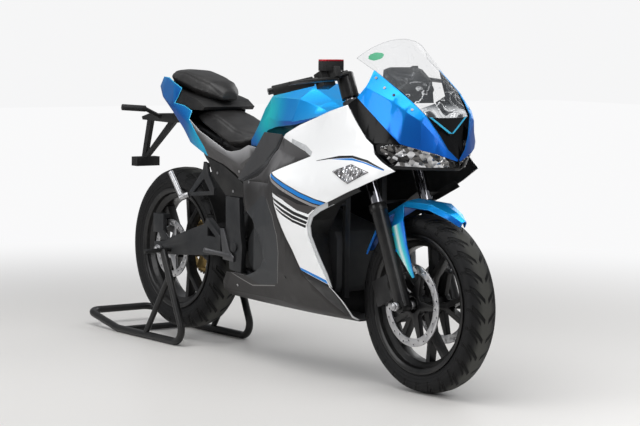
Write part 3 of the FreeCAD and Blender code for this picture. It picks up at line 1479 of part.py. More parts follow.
# Side stand on the left, folded back, on the frame's pin
stand_reach = size("side_stand_length")
leg_side = plate_inside + 30
side_leg = slab(
    "side_leg",
    "side",
    (
        (stand_pivot[0], stand_pivot[1] - 13),
        (stand_pivot[0] + 13, stand_pivot[1], "arc"),
        (stand_pivot[0], stand_pivot[1] + 13),
        (stand_pivot[0] - stand_reach, stand_pivot[1] + 5),
        (stand_pivot[0] - stand_reach, stand_pivot[1] - 11),
    ),
    leg_side,
    14,
)
foot = slab(
    "side_foot",
    "side",
    (
        (stand_pivot[0] - stand_reach - 4, stand_pivot[1] + 7),
        (stand_pivot[0] - stand_reach - 4, stand_pivot[1] - 28),
        (stand_pivot[0] - stand_reach + 6, stand_pivot[1] - 28),
        (stand_pivot[0] - stand_reach + 6, stand_pivot[1] + 7),
    ),
    leg_side - 4,
    34,
)
leg_hole = rod("leg_hole", 7.4, (stand_pivot[0], leg_side - 1, stand_pivot[1]), (stand_pivot[0], leg_side + 15, stand_pivot[1]))
node("side_stand", "bike", cut("side_stand_leg", join("side_stand_solid", side_leg, foot), leg_hole))
doc.recompute()

for thing in doc.Objects:
    if "Invalid" in thing.State or "Error" in thing.State:
        raise RuntimeError(f"{thing.Name} did not compute")
os.makedirs("parts", exist_ok=True)
for name, group in nodes.items():
    if group.Shape.isNull() or not group.Shape.isValid():
        raise RuntimeError(f"{name} has no valid shape")
    group.Shape.exportStep(f"parts/{name}.step")
    print(name, len(group.Shape.Solids), "solids", round(group.Shape.Volume / 1e6, 3), "litres")
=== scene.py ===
# %% [markdown]
# # A sport bike on its paddock stand
# The solids come from the CAD model as a fixed frame. This lesson dresses them: it gives each
# panel softened edges and a finish, and models the small pieces that solids leave out.

# %% Load the frame
import json
import math

import bpy
import bmesh
from mathutils import Matrix, Vector


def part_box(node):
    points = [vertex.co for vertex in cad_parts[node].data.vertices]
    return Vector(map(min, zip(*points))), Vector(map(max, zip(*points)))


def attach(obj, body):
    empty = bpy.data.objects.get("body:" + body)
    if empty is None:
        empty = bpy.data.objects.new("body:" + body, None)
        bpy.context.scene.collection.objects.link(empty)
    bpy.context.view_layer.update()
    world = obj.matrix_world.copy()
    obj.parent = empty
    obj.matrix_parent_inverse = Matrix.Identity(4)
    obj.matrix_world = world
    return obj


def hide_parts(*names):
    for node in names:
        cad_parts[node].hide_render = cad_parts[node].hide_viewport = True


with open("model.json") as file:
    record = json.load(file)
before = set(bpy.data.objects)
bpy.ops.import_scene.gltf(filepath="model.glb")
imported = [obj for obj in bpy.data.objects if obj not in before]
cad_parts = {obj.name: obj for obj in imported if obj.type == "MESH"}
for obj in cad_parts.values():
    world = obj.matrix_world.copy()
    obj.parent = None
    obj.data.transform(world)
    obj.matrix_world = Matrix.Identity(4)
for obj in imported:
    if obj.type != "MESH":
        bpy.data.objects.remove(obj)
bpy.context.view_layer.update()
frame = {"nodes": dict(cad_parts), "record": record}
scene = bpy.context.scene
scene.view_settings.view_transform = "Standard"
print("nodes:", len(frame["nodes"]))

# %% [markdown]
# ## Where things are
# The CAD frame has its origin in the middle of the whole length. All the numbers below are easier
# to read from the ground point under the rear axle, so one helper moves them across.

# %% Stations
low_wheel, high_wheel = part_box("rear_rim")
REAR_X = (low_wheel[0] + high_wheel[0]) / 2
front_low, front_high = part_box("front_rim")
FRONT_X = (front_low[0] + front_high[0]) / 2
WHEELBASE = FRONT_X - REAR_X
MM = 0.001


def at(x, y, z):
    """A point given in millimetres from the ground point under the rear axle."""
    return Vector((REAR_X + x * MM, y * MM, z * MM))


print("wheelbase:", round(WHEELBASE, 4))

# %% [markdown]
# ## The camera
# The photographer stood in front of the bike on its right, far back with a long lens, and held the
# camera a little above seat height. The lens and place were worked out from the two wheels, whose
# real sizes are known.

# %% Camera
AZIMUTH = 0.9281
PITCH_DOWN = 0.0895
ROLL = 0.013
LENS_MM = 117.1
EYE = at(6657.8, -4355.1, 1197.6)
camera_data = bpy.data.cameras.new("photographer")
camera = bpy.data.objects.new("photographer", camera_data)
scene.collection.objects.link(camera)
camera_data.sensor_width = 36.0
camera_data.lens = LENS_MM
level = math.cos(PITCH_DOWN)
back = Vector((math.sin(AZIMUTH) * level, -math.cos(AZIMUTH) * level, math.sin(PITCH_DOWN)))
right = (-back).cross(Vector((0, 0, 1))).normalized()
up = right.cross(-back)
turned_right = right * math.cos(ROLL) + up * math.sin(ROLL)
turned_up = up * math.cos(ROLL) - right * math.sin(ROLL)
turn = Matrix((turned_right, turned_up, back)).transposed()
camera.matrix_world = Matrix.Translation(EYE) @ turn.to_4x4()
camera_data.clip_end = 60
scene.camera = camera

# %% [markdown]
# ## Nodes
# The world, the floor and every finish are trees of shader nodes. One helper adds a node with its
# settings and its inputs, and short ones cover the nodes that come most often.

# %% Node helpers


def feed(tree, node, inputs):
    """Link sockets and set plain values. A colour gets its alpha here."""
    for label, value in inputs.items():
        socket = node.inputs[label]
        if isinstance(value, bpy.types.NodeSocket):
            tree.links.new(value, socket)
        else:
            socket.default_value = (*value, 1) if socket.type == "RGBA" else value


def add(tree, kind, inputs=None, **settings):
    """A new node with its settings, then its inputs."""
    node = tree.nodes.new(f"ShaderNode{kind}")
    for key, value in settings.items():
        setattr(node, key, value)
    feed(tree, node, inputs or {})
    return node


def number(tree, operation, *values):
    """The result of one Math node."""
    return add(tree, "Math", dict(enumerate(values)), operation=operation).outputs[0]


def ramp(tree, value, low, high, start=0.0, end=1.0):
    """A smooth step of a value from low to high."""
    limits = {"Value": value, "From Min": low, "From Max": high, "To Min": start, "To Max": end}
    return add(tree, "MapRange", limits, interpolation_type="SMOOTHSTEP").outputs["Result"]


def mixed_color(tree, share, first, second):
    """A colour between two others."""
    return add(tree, "Mix", {"Factor": share, "A": first, "B": second}, data_type="RGBA").outputs["Result"]


def color_steps(tree, value, steps):
    """A colour that follows a value from 0 to 1 through steps of (place, colour)."""
    node = add(tree, "ValToRGB", {"Fac": value})
    elements = node.color_ramp.elements
    elements[0].color = (*steps[0][1], 1)
    elements[1].color = (*steps[-1][1], 1)
    for position, color in steps[1:-1]:
        elements.new(position).color = (*color, 1)
    return node.outputs["Color"]


def object_place(tree):
    """The place of a point on the object."""
    return add(tree, "TexCoord").outputs["Object"]


def seen_directly(tree):
    """1 for rays of the camera and rays through clear plastic, 0 for light."""
    path = add(tree, "LightPath")
    return number(tree, "MAXIMUM", path.outputs["Is Camera Ray"], path.outputs["Is Transmission Ray"])


def new_material(name, inputs):
    """A material, its tree and its shader with these inputs."""
    material = bpy.data.materials.new(name)
    material.use_nodes = True
    tree = material.node_tree
    shader = tree.nodes["Principled BSDF"]
    feed(tree, shader, inputs)
    return material, tree, shader


def add_bump(tree, height, strength, distance):
    """Let a height raise or sink the surface of the tree's shader."""
    bump = add(tree, "Bump", {"Height": height, "Strength": strength, "Distance": distance})
    feed(tree, tree.nodes["Principled BSDF"], {"Normal": bump.outputs["Normal"]})


# %% [markdown]
# ## Light
# The photo has soft, even studio light and a white wall. Large area lamps give the long soft
# highlights on the paint. The world is white for the camera and seen through clear plastic, and
# dimmer as a light, so the white background does not wash out the colours.

# %% World and lamps
world = bpy.data.worlds.new("studio")
scene.world = world
world.use_nodes = True
world_tree = world.node_tree
world_tree.nodes.clear()
fill = add(world_tree, "Background", {"Color": (0.95, 0.97, 1.0), "Strength": 0.36})
wall = add(world_tree, "Background", {"Color": (0.97, 0.97, 0.975), "Strength": 0.95})
studio = add(world_tree, "MixShader", {0: seen_directly(world_tree), 1: fill.outputs[0], 2: wall.outputs[0]})
add(world_tree, "OutputWorld", {"Surface": studio.outputs[0]})


def soft_lamp(name, place, aim, width, height, power):
    """A large rectangular lamp that looks at a point."""
    lamp_data = bpy.data.lights.new(name, "AREA")
    lamp_data.shape = "RECTANGLE"
    lamp_data.size = width
    lamp_data.size_y = height
    lamp_data.energy = power
    lamp = bpy.data.objects.new(name, lamp_data)
    scene.collection.objects.link(lamp)
    lamp.location = place
    lamp.rotation_euler = (Vector(aim) - Vector(place)).to_track_quat("-Z", "Y").to_euler()
    return lamp


soft_lamp("roof_lamp", (0.4, -0.6, 3.4), (0.1, 0, 0.5), 4.0, 2.4, 100)
soft_lamp("front_lamp", (3.8, -0.6, 2.0), (0.4, 0, 0.6), 1.6, 1.8, 34)
soft_lamp("side_lamp", (-0.8, -4.2, 1.8), (0.0, 0, 0.6), 3.0, 1.6, 62)
soft_lamp("far_lamp", (-0.8, 3.8, 2.4), (0.0, 0, 0.6), 3.0, 2.0, 46)

# %% [markdown]
# ## The floor
# A pale, slightly glossy floor that fades into the white background: near the bike it takes the
# shadow and a soft reflection, further away it is as white as the wall. The fade follows the
# distance from the bike, so it looks the same from every side.

# %% Floor
bpy.ops.object.select_all(action="DESELECT")
bpy.ops.mesh.primitive_plane_add(size=40, location=(0, 0, 0))
floor = bpy.context.object
floor.name = "floor"
floor_paint, floor_tree, floor_shader = new_material(
    "pale_floor", {"Base Color": (0.70, 0.685, 0.665), "Roughness": 0.42, "Specular IOR Level": 0.45}
)
FADE_START, FADE_END = 1.3, 4.2
glow = add(floor_tree, "Emission", {"Color": (0.95, 0.95, 0.955)})
distance = add(floor_tree, "VectorMath", {0: object_place(floor_tree)}, operation="LENGTH")
fade = ramp(floor_tree, distance.outputs["Value"], FADE_START, FADE_END)
share = number(floor_tree, "MULTIPLY", fade, seen_directly(floor_tree))
blend = add(floor_tree, "MixShader", {0: share, 1: floor_shader.outputs[0], 2: glow.outputs[0]})
feed(floor_tree, floor_tree.nodes["Material Output"], {"Surface": blend.outputs["Shader"]})
floor.data.materials.append(floor_paint)

# %% [markdown]
# ## Finishes
# Every finish is a Principled shader. A few shared node groups add what several of them need: fine
# grain, faint wear, and the flake of metallic paint with painted shade and highlight by the way a face
# looks.

# %% Node groups


def new_group(name, inputs, outputs):
    """A node group whose inputs have these defaults: the group, the inputs inside it and its end."""
    group = bpy.data.node_groups.new(name, "ShaderNodeTree")
    for label, value in inputs.items():
        is_color = isinstance(value, tuple)
        kind = "NodeSocketColor" if is_color else "NodeSocketFloat"
        socket = group.interface.new_socket(label, in_out="INPUT", socket_type=kind)
        socket.default_value = (*value, 1) if is_color else value
    for label, kind in outputs.items():
        group.interface.new_socket(label, in_out="OUTPUT", socket_type=kind)
    enter = group.nodes.new("NodeGroupInput")
    return group, enter.outputs, group.nodes.new("NodeGroupOutput")


def grain_group():
    """Fine moulded grain: a height for a bump."""
    group, given, leave = new_group("moulded_grain", {"Scale": 900.0}, {"Height": "NodeSocketFloat"})
    noise = add(group, "TexNoise", {"Vector": object_place(group), "Scale": given["Scale"], "Detail": 3.0})
    feed(group, leave, {"Height": noise.outputs["Fac"]})
    return group


def wear_group():
    """Broad faint variation that moves the roughness and tone a little, as handling and dust do."""
    group, given, leave = new_group(
        "faint_wear",
        {
            "Color": (0.5, 0.5, 0.5), "Dust": (0.5, 0.48, 0.45), "Amount": 0.05,
            "Roughness": 0.4, "Spread": 0.1, "Scale": 9.0,
        },
        {"Color": "NodeSocketColor", "Roughness": "NodeSocketFloat"},
    )
    clouds = {"Vector": object_place(group), "Scale": given["Scale"], "Detail": 6.0, "Roughness": 0.65}
    noise = add(group, "TexNoise", clouds).outputs["Fac"]
    spread = add(group, "MapRange", {"Value": noise, "From Min": 0.35, "From Max": 0.75}).outputs["Result"]
    share = number(group, "MULTIPLY", spread, given["Amount"])
    tone = mixed_color(group, share, given["Color"], given["Dust"])
    rough = number(group, "MULTIPLY_ADD", spread, given["Spread"], given["Roughness"])
    feed(group, leave, {"Color": tone, "Roughness": rough})
    return group


def flake_and_painted_shade_group():
    """Metallic paint with fine flake, and painted light: the shaded tone where it faces the floor, the lit
    tone where it faces up.
    """
    group, given, leave = new_group(
        "metal_flake_and_painted_shade",
        {"Shaded": (0.02, 0.1, 0.3), "Bright": (0.0, 0.3, 0.4), "Spark": 0.25, "Low": -0.2, "High": 0.9},
        {"Color": "NodeSocketColor"},
    )
    place = add(group, "TexCoord").outputs
    # Painted shade and highlight: the colour goes from the shaded tone where the face looks at the floor to
    # the lit tone where it looks up.
    lean = add(group, "VectorMath", {0: place["Normal"], 1: (-0.3, 0.0, 0.95)}, operation="DOT_PRODUCT")
    flop = ramp(group, lean.outputs["Value"], given["Low"], given["High"])
    cells = add(group, "TexVoronoi", {"Vector": place["Object"], "Scale": 1400.0})
    tone = add(group, "SeparateColor", {"Color": cells.outputs["Color"]})
    spark = number(group, "MULTIPLY_ADD", tone.outputs[0], given["Spark"], flop)
    spark.node.use_clamp = True
    feed(group, leave, {"Color": mixed_color(group, spark, given["Shaded"], given["Bright"])})
    return group


GRAIN = grain_group()
WEAR = wear_group()
FLAKE_AND_PAINTED_SHADE = flake_and_painted_shade_group()

# %% [markdown]
# One function makes every plain finish. Its colour goes through the shared wear group, and the
# groups add what changes over the surface.

# %% Finish maker


def finish(name, color, roughness, metallic=0.0, coat=0.0, grain=None, dust=0.04, spread=0.06,
           lit_tone=None, spark=0.1, low=-0.2, high=0.9, specular=0.5):
    """One finish: its tone, its shine, and the shared groups it uses."""
    shine = {"Metallic": metallic, "Coat Weight": coat, "Coat Roughness": 0.04}
    material, tree, shader = new_material(name, {**shine, "Specular IOR Level": specular})
    worn = {"Color": color, "Amount": dust, "Roughness": roughness, "Spread": spread}
    wear = add(tree, "Group", worn, node_tree=WEAR)
    # With a lit tone the colour is painted light: shaded where the face looks down, lit where it looks up,
    # with flake.
    if lit_tone:
        metal = {"Shaded": color, "Bright": lit_tone, "Spark": spark, "Low": low, "High": high}
        flake = add(tree, "Group", metal, node_tree=FLAKE_AND_PAINTED_SHADE)
        feed(tree, wear, {"Color": flake.outputs["Color"]})
    feed(tree, shader, {"Base Color": wear.outputs["Color"], "Roughness": wear.outputs["Roughness"]})
    if grain:
        scale, depth = grain
        texture = add(tree, "Group", {"Scale": scale}, node_tree=GRAIN)
        add_bump(tree, texture.outputs["Height"], depth, 0.001)
    return material


# The two ends of the painted light on the blue and the graphite: shaded towards the floor, lit towards the
# top.
LIT_BLUE = (0.0015, 0.36, 0.86)
SHADED_BLUE = (0.0006, 0.085, 0.44)
LIT_GREY = (0.25, 0.245, 0.25)


def blue(name, glow=None):
    """The metallic blue, whose reflections are blue too, painted lighter where it faces up, with a painted
    teal highlight where it is asked for.
    """
    material = finish(
        name, SHADED_BLUE, 0.36, 0.72, 0.18, lit_tone=LIT_BLUE, low=-0.25, high=0.75, dust=0.0, spark=0.08,
        specular=0.3,
    )
    # A painted highlight: a patch of teal or cyan round one point of the side view, strongest in its middle.
    if glow:
        (middle_x, middle_z), radius, color, amount = glow
        tree = material.node_tree
        shader = tree.nodes["Principled BSDF"]
        parts = add(tree, "SeparateXYZ", {"Vector": object_place(tree)}).outputs
        flat = add(tree, "CombineXYZ", {"X": parts["X"], "Z": parts["Z"]}).outputs["Vector"]
        distance = add(tree, "VectorMath", {0: flat, 1: (middle_x, 0, middle_z)}, operation="DISTANCE")
        near = ramp(tree, distance.outputs["Value"], 0.0, radius, amount, 0.0)
        plain = shader.inputs["Base Color"].links[0].from_socket
        feed(tree, shader, {"Base Color": mixed_color(tree, near, plain, color)})
    return material


# The bands across the fender leg: teal, a near-white painted highlight in the middle, then blue.
LEG_BANDS = (
    (0.0, (0.0, 0.30, 0.42)),
    (0.40, (0.05, 0.6, 0.62)),
    (0.55, (0.85, 0.97, 0.93)),
    (0.72, (0.06, 0.62, 0.68)),
    (1.0, (0.0, 0.16, 0.66)),
)


def fender_leg_finish():
    """Teal at the fork, a white glint down the middle, blue at the front edge."""
    material = blue("fender_leg")
    tree = material.node_tree
    lean = add(tree, "VectorMath", {0: object_place(tree), 1: (1.0, 0.0, 0.49)}, operation="DOT_PRODUCT")
    across = add(tree, "MapRange", {"Value": lean.outputs["Value"], "From Min": 0.985, "From Max": 1.067})
    bands = color_steps(tree, across.outputs["Result"], LEG_BANDS)
    feed(tree, tree.nodes["Principled BSDF"], {"Base Color": bands, "Metallic": 0.2})
    return material


FINISHES = {
    "blue_paint": blue("blue_paint"),
    # The tank and the tail carry a painted highlight, a teal or cyan patch at one spot.
    "tank_cover": blue("tank_blue", ((0.085, 0.885), 0.16, (0.0, 0.72, 0.74), 0.95)),
    "tail_fairings": blue("tail_blue", ((-0.33, 0.79), 0.16, (0.02, 0.62, 0.86), 0.9)),
    "cyan_edge": finish("cyan_edge", (0.05, 0.5, 0.80), 0.25, 0.2, 0.4, dust=0.0, specular=0.3),
    "teal_paint": fender_leg_finish(),
    "white_paint": finish("white_paint", (0.88, 0.885, 0.89), 0.25, 0.0, 0.3, dust=0.0, spread=0.0),
    "lip_grey": finish("lip_grey", (0.50, 0.51, 0.52), 0.25, 0.0, 0.4, dust=0.0),
    "crease_grey": finish("crease_grey", (0.17, 0.165, 0.16), 0.35, 0.3, 0.3, dust=0.0),
    "stripe_blue": finish("stripe_blue", (0.002, 0.2, 0.62), 0.3, 0.0, 0.2, dust=0.0, specular=0.25),
    "stripe_black": finish("stripe_black", (0.004, 0.004, 0.005), 0.3, 0.0, 0.1, dust=0.0, specular=0.2),
    "stripe_grey": finish("stripe_grey", (0.27, 0.255, 0.25), 0.25, 0.1, 0.3, dust=0.0),
    "stripe_dark": finish("stripe_dark", (0.04, 0.035, 0.035), 0.3, 0.1, 0.2, dust=0.0, specular=0.3),
    # The graphite panels are painted lighter where they face up, as a painted highlight.
    "graphite_paint": finish(
        "graphite_paint", (0.0105, 0.0088, 0.0085), 0.42, 0.35, 0.1, lit_tone=LIT_GREY, low=0.05, high=0.85,
        spark=0.04, dust=0.0, specular=0.35,
    ),
    "seat_side_panels": finish(
        "graphite_side", (0.04, 0.037, 0.037), 0.38, 0.4, 0.2, lit_tone=(0.62, 0.62, 0.63), low=-0.2,
        high=0.62, spark=0.04, dust=0.0, specular=0.4,
    ),
    "diagonal_panels": finish(
        "graphite_arm", (0.045, 0.045, 0.047), 0.42, 0.35, 0.1, dust=0.0, specular=0.4
    ),
    "rider_pegs": finish("peg_metal", (0.09, 0.09, 0.095), 0.35, 0.8, grain=(1500, 0.06)),
    "cast_peg": finish("cast_peg", (0.42, 0.42, 0.43), 0.34, 0.9, grain=(1500, 0.06)),
    "front_calipers": finish(
        "caliper_black", (0.008, 0.008, 0.009), 0.4, 0.3, grain=(1500, 0.06), specular=0.3
    ),
    "screw_metal": finish("screw_metal", (0.2, 0.2, 0.21), 0.2, 1.0, dust=0.0),
    "slate_paint": finish("slate_paint", (0.019, 0.021, 0.024), 0.42, 0.2, 0.1, dust=0.01, specular=0.3),
    "nose_bands": finish(
        "deep_black_band", (0.002, 0.002, 0.0022), 0.22, 0.0, 0.03, dust=0.0, specular=0.1
    ),
    "nose_centre": finish(
        "deep_black_centre", (0.0025, 0.0025, 0.003), 0.25, 0.0, 0.05, dust=0.0, specular=0.15
    ),
    "dash": finish("dash_black", (0.003, 0.003, 0.0035), 0.5, specular=0.12),
    "gloss_black": finish("gloss_black", (0.003, 0.003, 0.0035), 0.16, 0.0, 0.15, dust=0.0, specular=0.25),
    "black_plastic": finish(
        "black_plastic", (0.0055, 0.0055, 0.006), 0.5, grain=(1100, 0.25), specular=0.25
    ),
    "dark_plastic": finish("dark_plastic", (0.022, 0.0235, 0.026), 0.5, grain=(900, 0.2), specular=0.3),
    "dark_metal": finish("dark_metal", (0.017, 0.018, 0.020), 0.42, 0.2, grain=(1300, 0.12), specular=0.3),
    "black_metal": finish("black_metal", (0.004, 0.004, 0.0045), 0.3, 0.1, 0.12, specular=0.25),
    "steel": finish("steel", (0.46, 0.46, 0.47), 0.3, 1.0, grain=(1600, 0.05)),
    "chain_steel": finish("chain_steel", (0.10, 0.09, 0.08), 0.4, 0.9, dust=0.2),
    "sprocket_gold": finish("sprocket_gold", (0.42, 0.29, 0.11), 0.35, 1.0),
    "chrome": finish("chrome", (0.72, 0.73, 0.75), 0.08, 1.0, dust=0.01, spread=0.02),
    "fork_tubes": finish("fork_chrome", (0.24, 0.24, 0.26), 0.07, 1.0, dust=0.0, spread=0.01),
    "grip_rubber": finish("grip_rubber", (0.005, 0.005, 0.0055), 0.7, grain=(700, 0.3), specular=0.25),
    "seat_cover": finish("seat_cover", (0.008, 0.0075, 0.0078), 0.40, grain=(420, 0.35), specular=0.4),
    "red_lens": finish("red_lens", (0.3, 0.008, 0.01), 0.12, 0.0, 0.8),
    "red_anodised": finish("red_anodised", (0.5, 0.006, 0.02), 0.3, 0.5, 0.3),
    "green_film": finish("green_film", (0.0, 0.25, 0.11), 0.35),
    "stand_paint": finish("stand_paint", (0.0045, 0.0045, 0.005), 0.35, 0.1, 0.1, dust=0.03, specular=0.3),
}
print("finishes:", len(FINISHES))

# %% [markdown]
# ## The tread
# A road tyre has long slanted grooves that repeat round it. Cutting them as shapes would take very
# many faces, so they are a height in the material: the angle round the axle gives the place round
# the tyre, the distance from the middle bends the groove, and a bump sinks it. The grooves are also
# painted darker than the rubber, as painted shade.

# %% Tyre finish
GROOVES = (
    # shift round the tyre, slant, half width, start and end from the middle outwards
    (0.0, -0.95, 0.15, 0.10, 0.86),
    (0.5, -1.25, 0.11, 0.42, 0.97),
)
WALL_RINGS = (0.80, 0.835, 0.872)


def tyre_finish(name, axle, radius, half_width, repeats):
    """Matt rubber with slanted grooves, and rings on the side wall."""
    material, tree, shader = new_material(name, {"Specular IOR Level": 0.22, "Roughness": 0.6})
    centred = add(tree, "VectorMath", {0: object_place(tree), 1: axle}, operation="SUBTRACT")
    parts = add(tree, "SeparateXYZ", {"Vector": centred.outputs["Vector"]}).outputs
    turn = number(tree, "MULTIPLY", number(tree, "ARCTAN2", parts["Z"], parts["X"]), repeats / math.tau)
    out = number(tree, "DIVIDE", number(tree, "ABSOLUTE", parts["Y"]), half_width)
    square_x, square_z = (number(tree, "POWER", parts[axis], 2.0) for axis in "XZ")
    from_axle = number(tree, "SQRT", number(tree, "ADD", square_x, square_z))
    reach = number(tree, "DIVIDE", from_axle, radius)
    depth = 0.0
    for shift, slant, wide, near, far in GROOVES:
        along = number(tree, "MULTIPLY_ADD", out, slant, turn)
        cell = number(tree, "FRACT", number(tree, "ADD", along, shift))
        off = number(tree, "ABSOLUTE", number(tree, "SUBTRACT", cell, 0.5))
        groove = ramp(tree, off, wide * 0.55, wide, 1.0, 0.0)
        inner_end = ramp(tree, out, near, near + 0.04)
        outer_end = ramp(tree, out, far, far + 0.05, 1.0, 0.0)
        part = number(tree, "MULTIPLY", groove, number(tree, "MULTIPLY", inner_end, outer_end))
        depth = number(tree, "MAXIMUM", depth, part)
    tread = number(tree, "MULTIPLY", depth, ramp(tree, reach, 0.86, 0.88))
    rings = 0.0
    for middle in WALL_RINGS:
        off = number(tree, "ABSOLUTE", number(tree, "SUBTRACT", reach, middle))
        rings = number(tree, "MAXIMUM", rings, ramp(tree, off, 0.002, 0.005, 1.0, 0.0))
    add_bump(tree, number(tree, "SUBTRACT", number(tree, "MULTIPLY", rings, 0.35), tread), 1.0, 0.006)
    crown = number(tree, "MULTIPLY", ramp(tree, reach, 0.885, 0.965), ramp(tree, out, 0.2, 0.75, 1.0, 0.0))
    worn = mixed_color(tree, crown, (0.0055, 0.0055, 0.006), (0.052, 0.052, 0.047))
    # The grooves are painted nearly black, darker than the rubber round them: painted shade.
    feed(tree, shader, {"Base Color": mixed_color(tree, tread, worn, (0.0008, 0.0008, 0.0008))})
    return material


def wheel_facts(node):
    """Middle, radius and half width of a tyre from its box."""
    low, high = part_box(node)
    middle = tuple((a + b) / 2 for a, b in zip(low, high))
    return middle, (high[0] - low[0]) / 2, (high[1] - low[1]) / 2


FINISHES["front_tyre"] = tyre_finish("front_tread", *wheel_facts("front_tyre"), 28)
FINISHES["rear_tyre"] = tyre_finish("rear_tread", *wheel_facts("rear_tyre"), 26)

# %% [markdown]
# ## Clear parts
# The screen is thin clear plastic with a protective film on its lower half; the glints along its
# creases are painted highlights. The lamps show a faceted reflector behind a clear cover: small cells,
# each with its own painted brightness, give that glitter as painted reflection.

# %% Screen and lamp finishes


def screen_finish():
    """Clear plastic with creased film low down, whose creases carry painted white glints."""
    material, tree, shader = new_material("clear_screen", {"Roughness": 0.12, "Specular IOR Level": 0.15})
    place = object_place(tree)
    creases = {"Vector": place, "Scale": 13.0, "Detail": 3.5, "Distortion": 1.2}
    folds = add(tree, "TexNoise", creases).outputs["Fac"]
    off = number(tree, "ABSOLUTE", number(tree, "SUBTRACT", folds, 0.5))
    glint = ramp(tree, off, 0.002, 0.013, 1.0, 0.0)
    height = add(tree, "SeparateXYZ", {"Vector": place}).outputs["Z"]
    film = ramp(tree, height, 0.94, 1.07, 1.0, 0.08)
    streak = number(tree, "MULTIPLY", glint, film)
    low_edge = ramp(tree, height, 0.925, 0.955, 1.0, 0.0)
    foot = number(tree, "MULTIPLY", low_edge, ramp(tree, folds, 0.4, 0.6))
    veil = number(tree, "MULTIPLY_ADD", streak, 0.7, 0.08)
    # The glints are painted highlights that whiten the colour, as the white film at the foot does.
    whitened = number(tree, "MAXIMUM", streak, foot)
    tint = mixed_color(tree, whitened, (0.30, 0.32, 0.34), (0.95, 0.96, 0.97))
    feed(tree, shader, {"Alpha": number(tree, "MULTIPLY_ADD", foot, 0.45, veil), "Base Color": tint})
    add_bump(tree, number(tree, "MULTIPLY", folds, film), 0.35, 0.002)
    return material


def lamp_finish(name, scale, dark, middle, light):
    """A faceted reflector under a clear cover, its reflections painted as cells of dark, middle and light
    tone.
    """
    material, tree, shader = new_material(name, {"Metallic": 0.9, "Roughness": 0.14, "Coat Weight": 0.25})
    cells = add(tree, "TexVoronoi", {"Vector": object_place(tree), "Scale": scale}).outputs
    tone = add(tree, "SeparateColor", {"Color": cells["Color"]})
    # Painted reflection: each cell of the reflector takes its own tone, dark, middle or light.
    level = color_steps(tree, tone.outputs[0], ((0.0, dark), (0.55, middle), (1.0, light)))
    feed(tree, shader, {"Base Color": level})
    add_bump(tree, cells["Distance"], 1.0, 0.012)
    return material


FINISHES["windscreen"] = screen_finish()
FINISHES["headlamps"] = lamp_finish(
    "head_lamp_facets", 48.0, (0.012, 0.012, 0.012), (0.16, 0.155, 0.15), (0.80, 0.81, 0.83)
)
FINISHES["side_lamps"] = lamp_finish(
    "side_lamp_facets", 62.0, (0.12, 0.11, 0.11), (0.5, 0.5, 0.52), (0.8, 0.81, 0.83)
)
FINISHES["screen_edge"] = finish("screen_edge", (0.16, 0.17, 0.18), 0.2, coat=0.5)

# %% [markdown]
# ## Dressing the CAD panels
# A CAD node is a mesh of loose triangles. A copy is merged, its sharp edges are rounded with a bevel
# and it is shaded smooth between its creases. The bevel can take a finish of its own: on the blue panels
# a light cyan, a painted highlight along their rims, and on the white panels a grey, painted shade on the
# lip. The copy stands for the node and moves with its body.

# %% Dress the nodes
SLOTS = {row["node"]: row["material_slot"] for row in frame["record"]["subparts"]}
BODIES = {}
for body, names in frame["record"]["behaviour"]["bodies"].items():
    for name in names:
        BODIES[name] = body
REPLACED = ("rider_seat", "pillion_seat", "chain")
SHARP = math.radians(32)


def only(piece):
    """Select one piece and make it active."""
    bpy.ops.object.select_all(action="DESELECT")
    piece.select_set(True)
    bpy.context.view_layer.objects.active = piece


def own_mesh(name, node):
    """A merged copy of a node's mesh, as a new piece."""
    source = frame["nodes"][node]
    piece = bpy.data.objects.new(name, source.data.copy())
    scene.collection.objects.link(piece)
    tidy = bmesh.new()
    tidy.from_mesh(piece.data)
    bmesh.ops.remove_doubles(tidy, verts=tidy.verts, dist=0.00002)
    bmesh.ops.dissolve_limit(tidy, angle_limit=math.radians(0.4), verts=tidy.verts, edges=tidy.edges)
    tidy.to_mesh(piece.data)
    tidy.free()
    piece.data.materials.clear()
    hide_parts(node)
    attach(piece, BODIES[node])
    return piece


def tint_index(piece, tint):
    """The place of a finish in a piece's list, added where it is new."""
    material = FINISHES[tint]
    if material.name not in piece.data.materials:
        piece.data.materials.append(material)
    return piece.data.materials.find(material.name)


def apply(piece, kind, **settings):
    """Add a modifier to the active piece, with its settings, and apply it."""
    modifier = piece.modifiers.new(kind.lower(), kind)
    for key, value in settings.items():
        setattr(modifier, key, value)
    bpy.ops.object.modifier_apply(modifier=modifier.name)


def soften(piece, width, rim=None):
    """Round the sharp edges, in a finish of their own if one is given, and shade the rest smooth."""
    only(piece)
    if width:
        index = tint_index(piece, rim) if rim else -1
        limit = {"limit_method": "ANGLE", "angle_limit": SHARP}
        apply(piece, "BEVEL", width=width, segments=2, material=index, **limit)
    bpy.ops.object.shade_smooth_by_angle(angle=SHARP)


PLAIN_EDGE = 0.0013
EDGE = {
    "front_tyre": 0, "rear_tyre": 0, "front_discs": 0.0003, "rear_disc": 0.0003, "fork_tubes": 0.001,
    "rear_sprocket": 0.0004, "motor_sprocket": 0.0004, "paddock_stand": 0.001, "subframe": 0.001,
    "windscreen": 0.0006, "tank_cover": 0.003, "tail_fairings": 0.0022, "nose_panels": 0.0018,
    "front_fender": 0.0022,
}
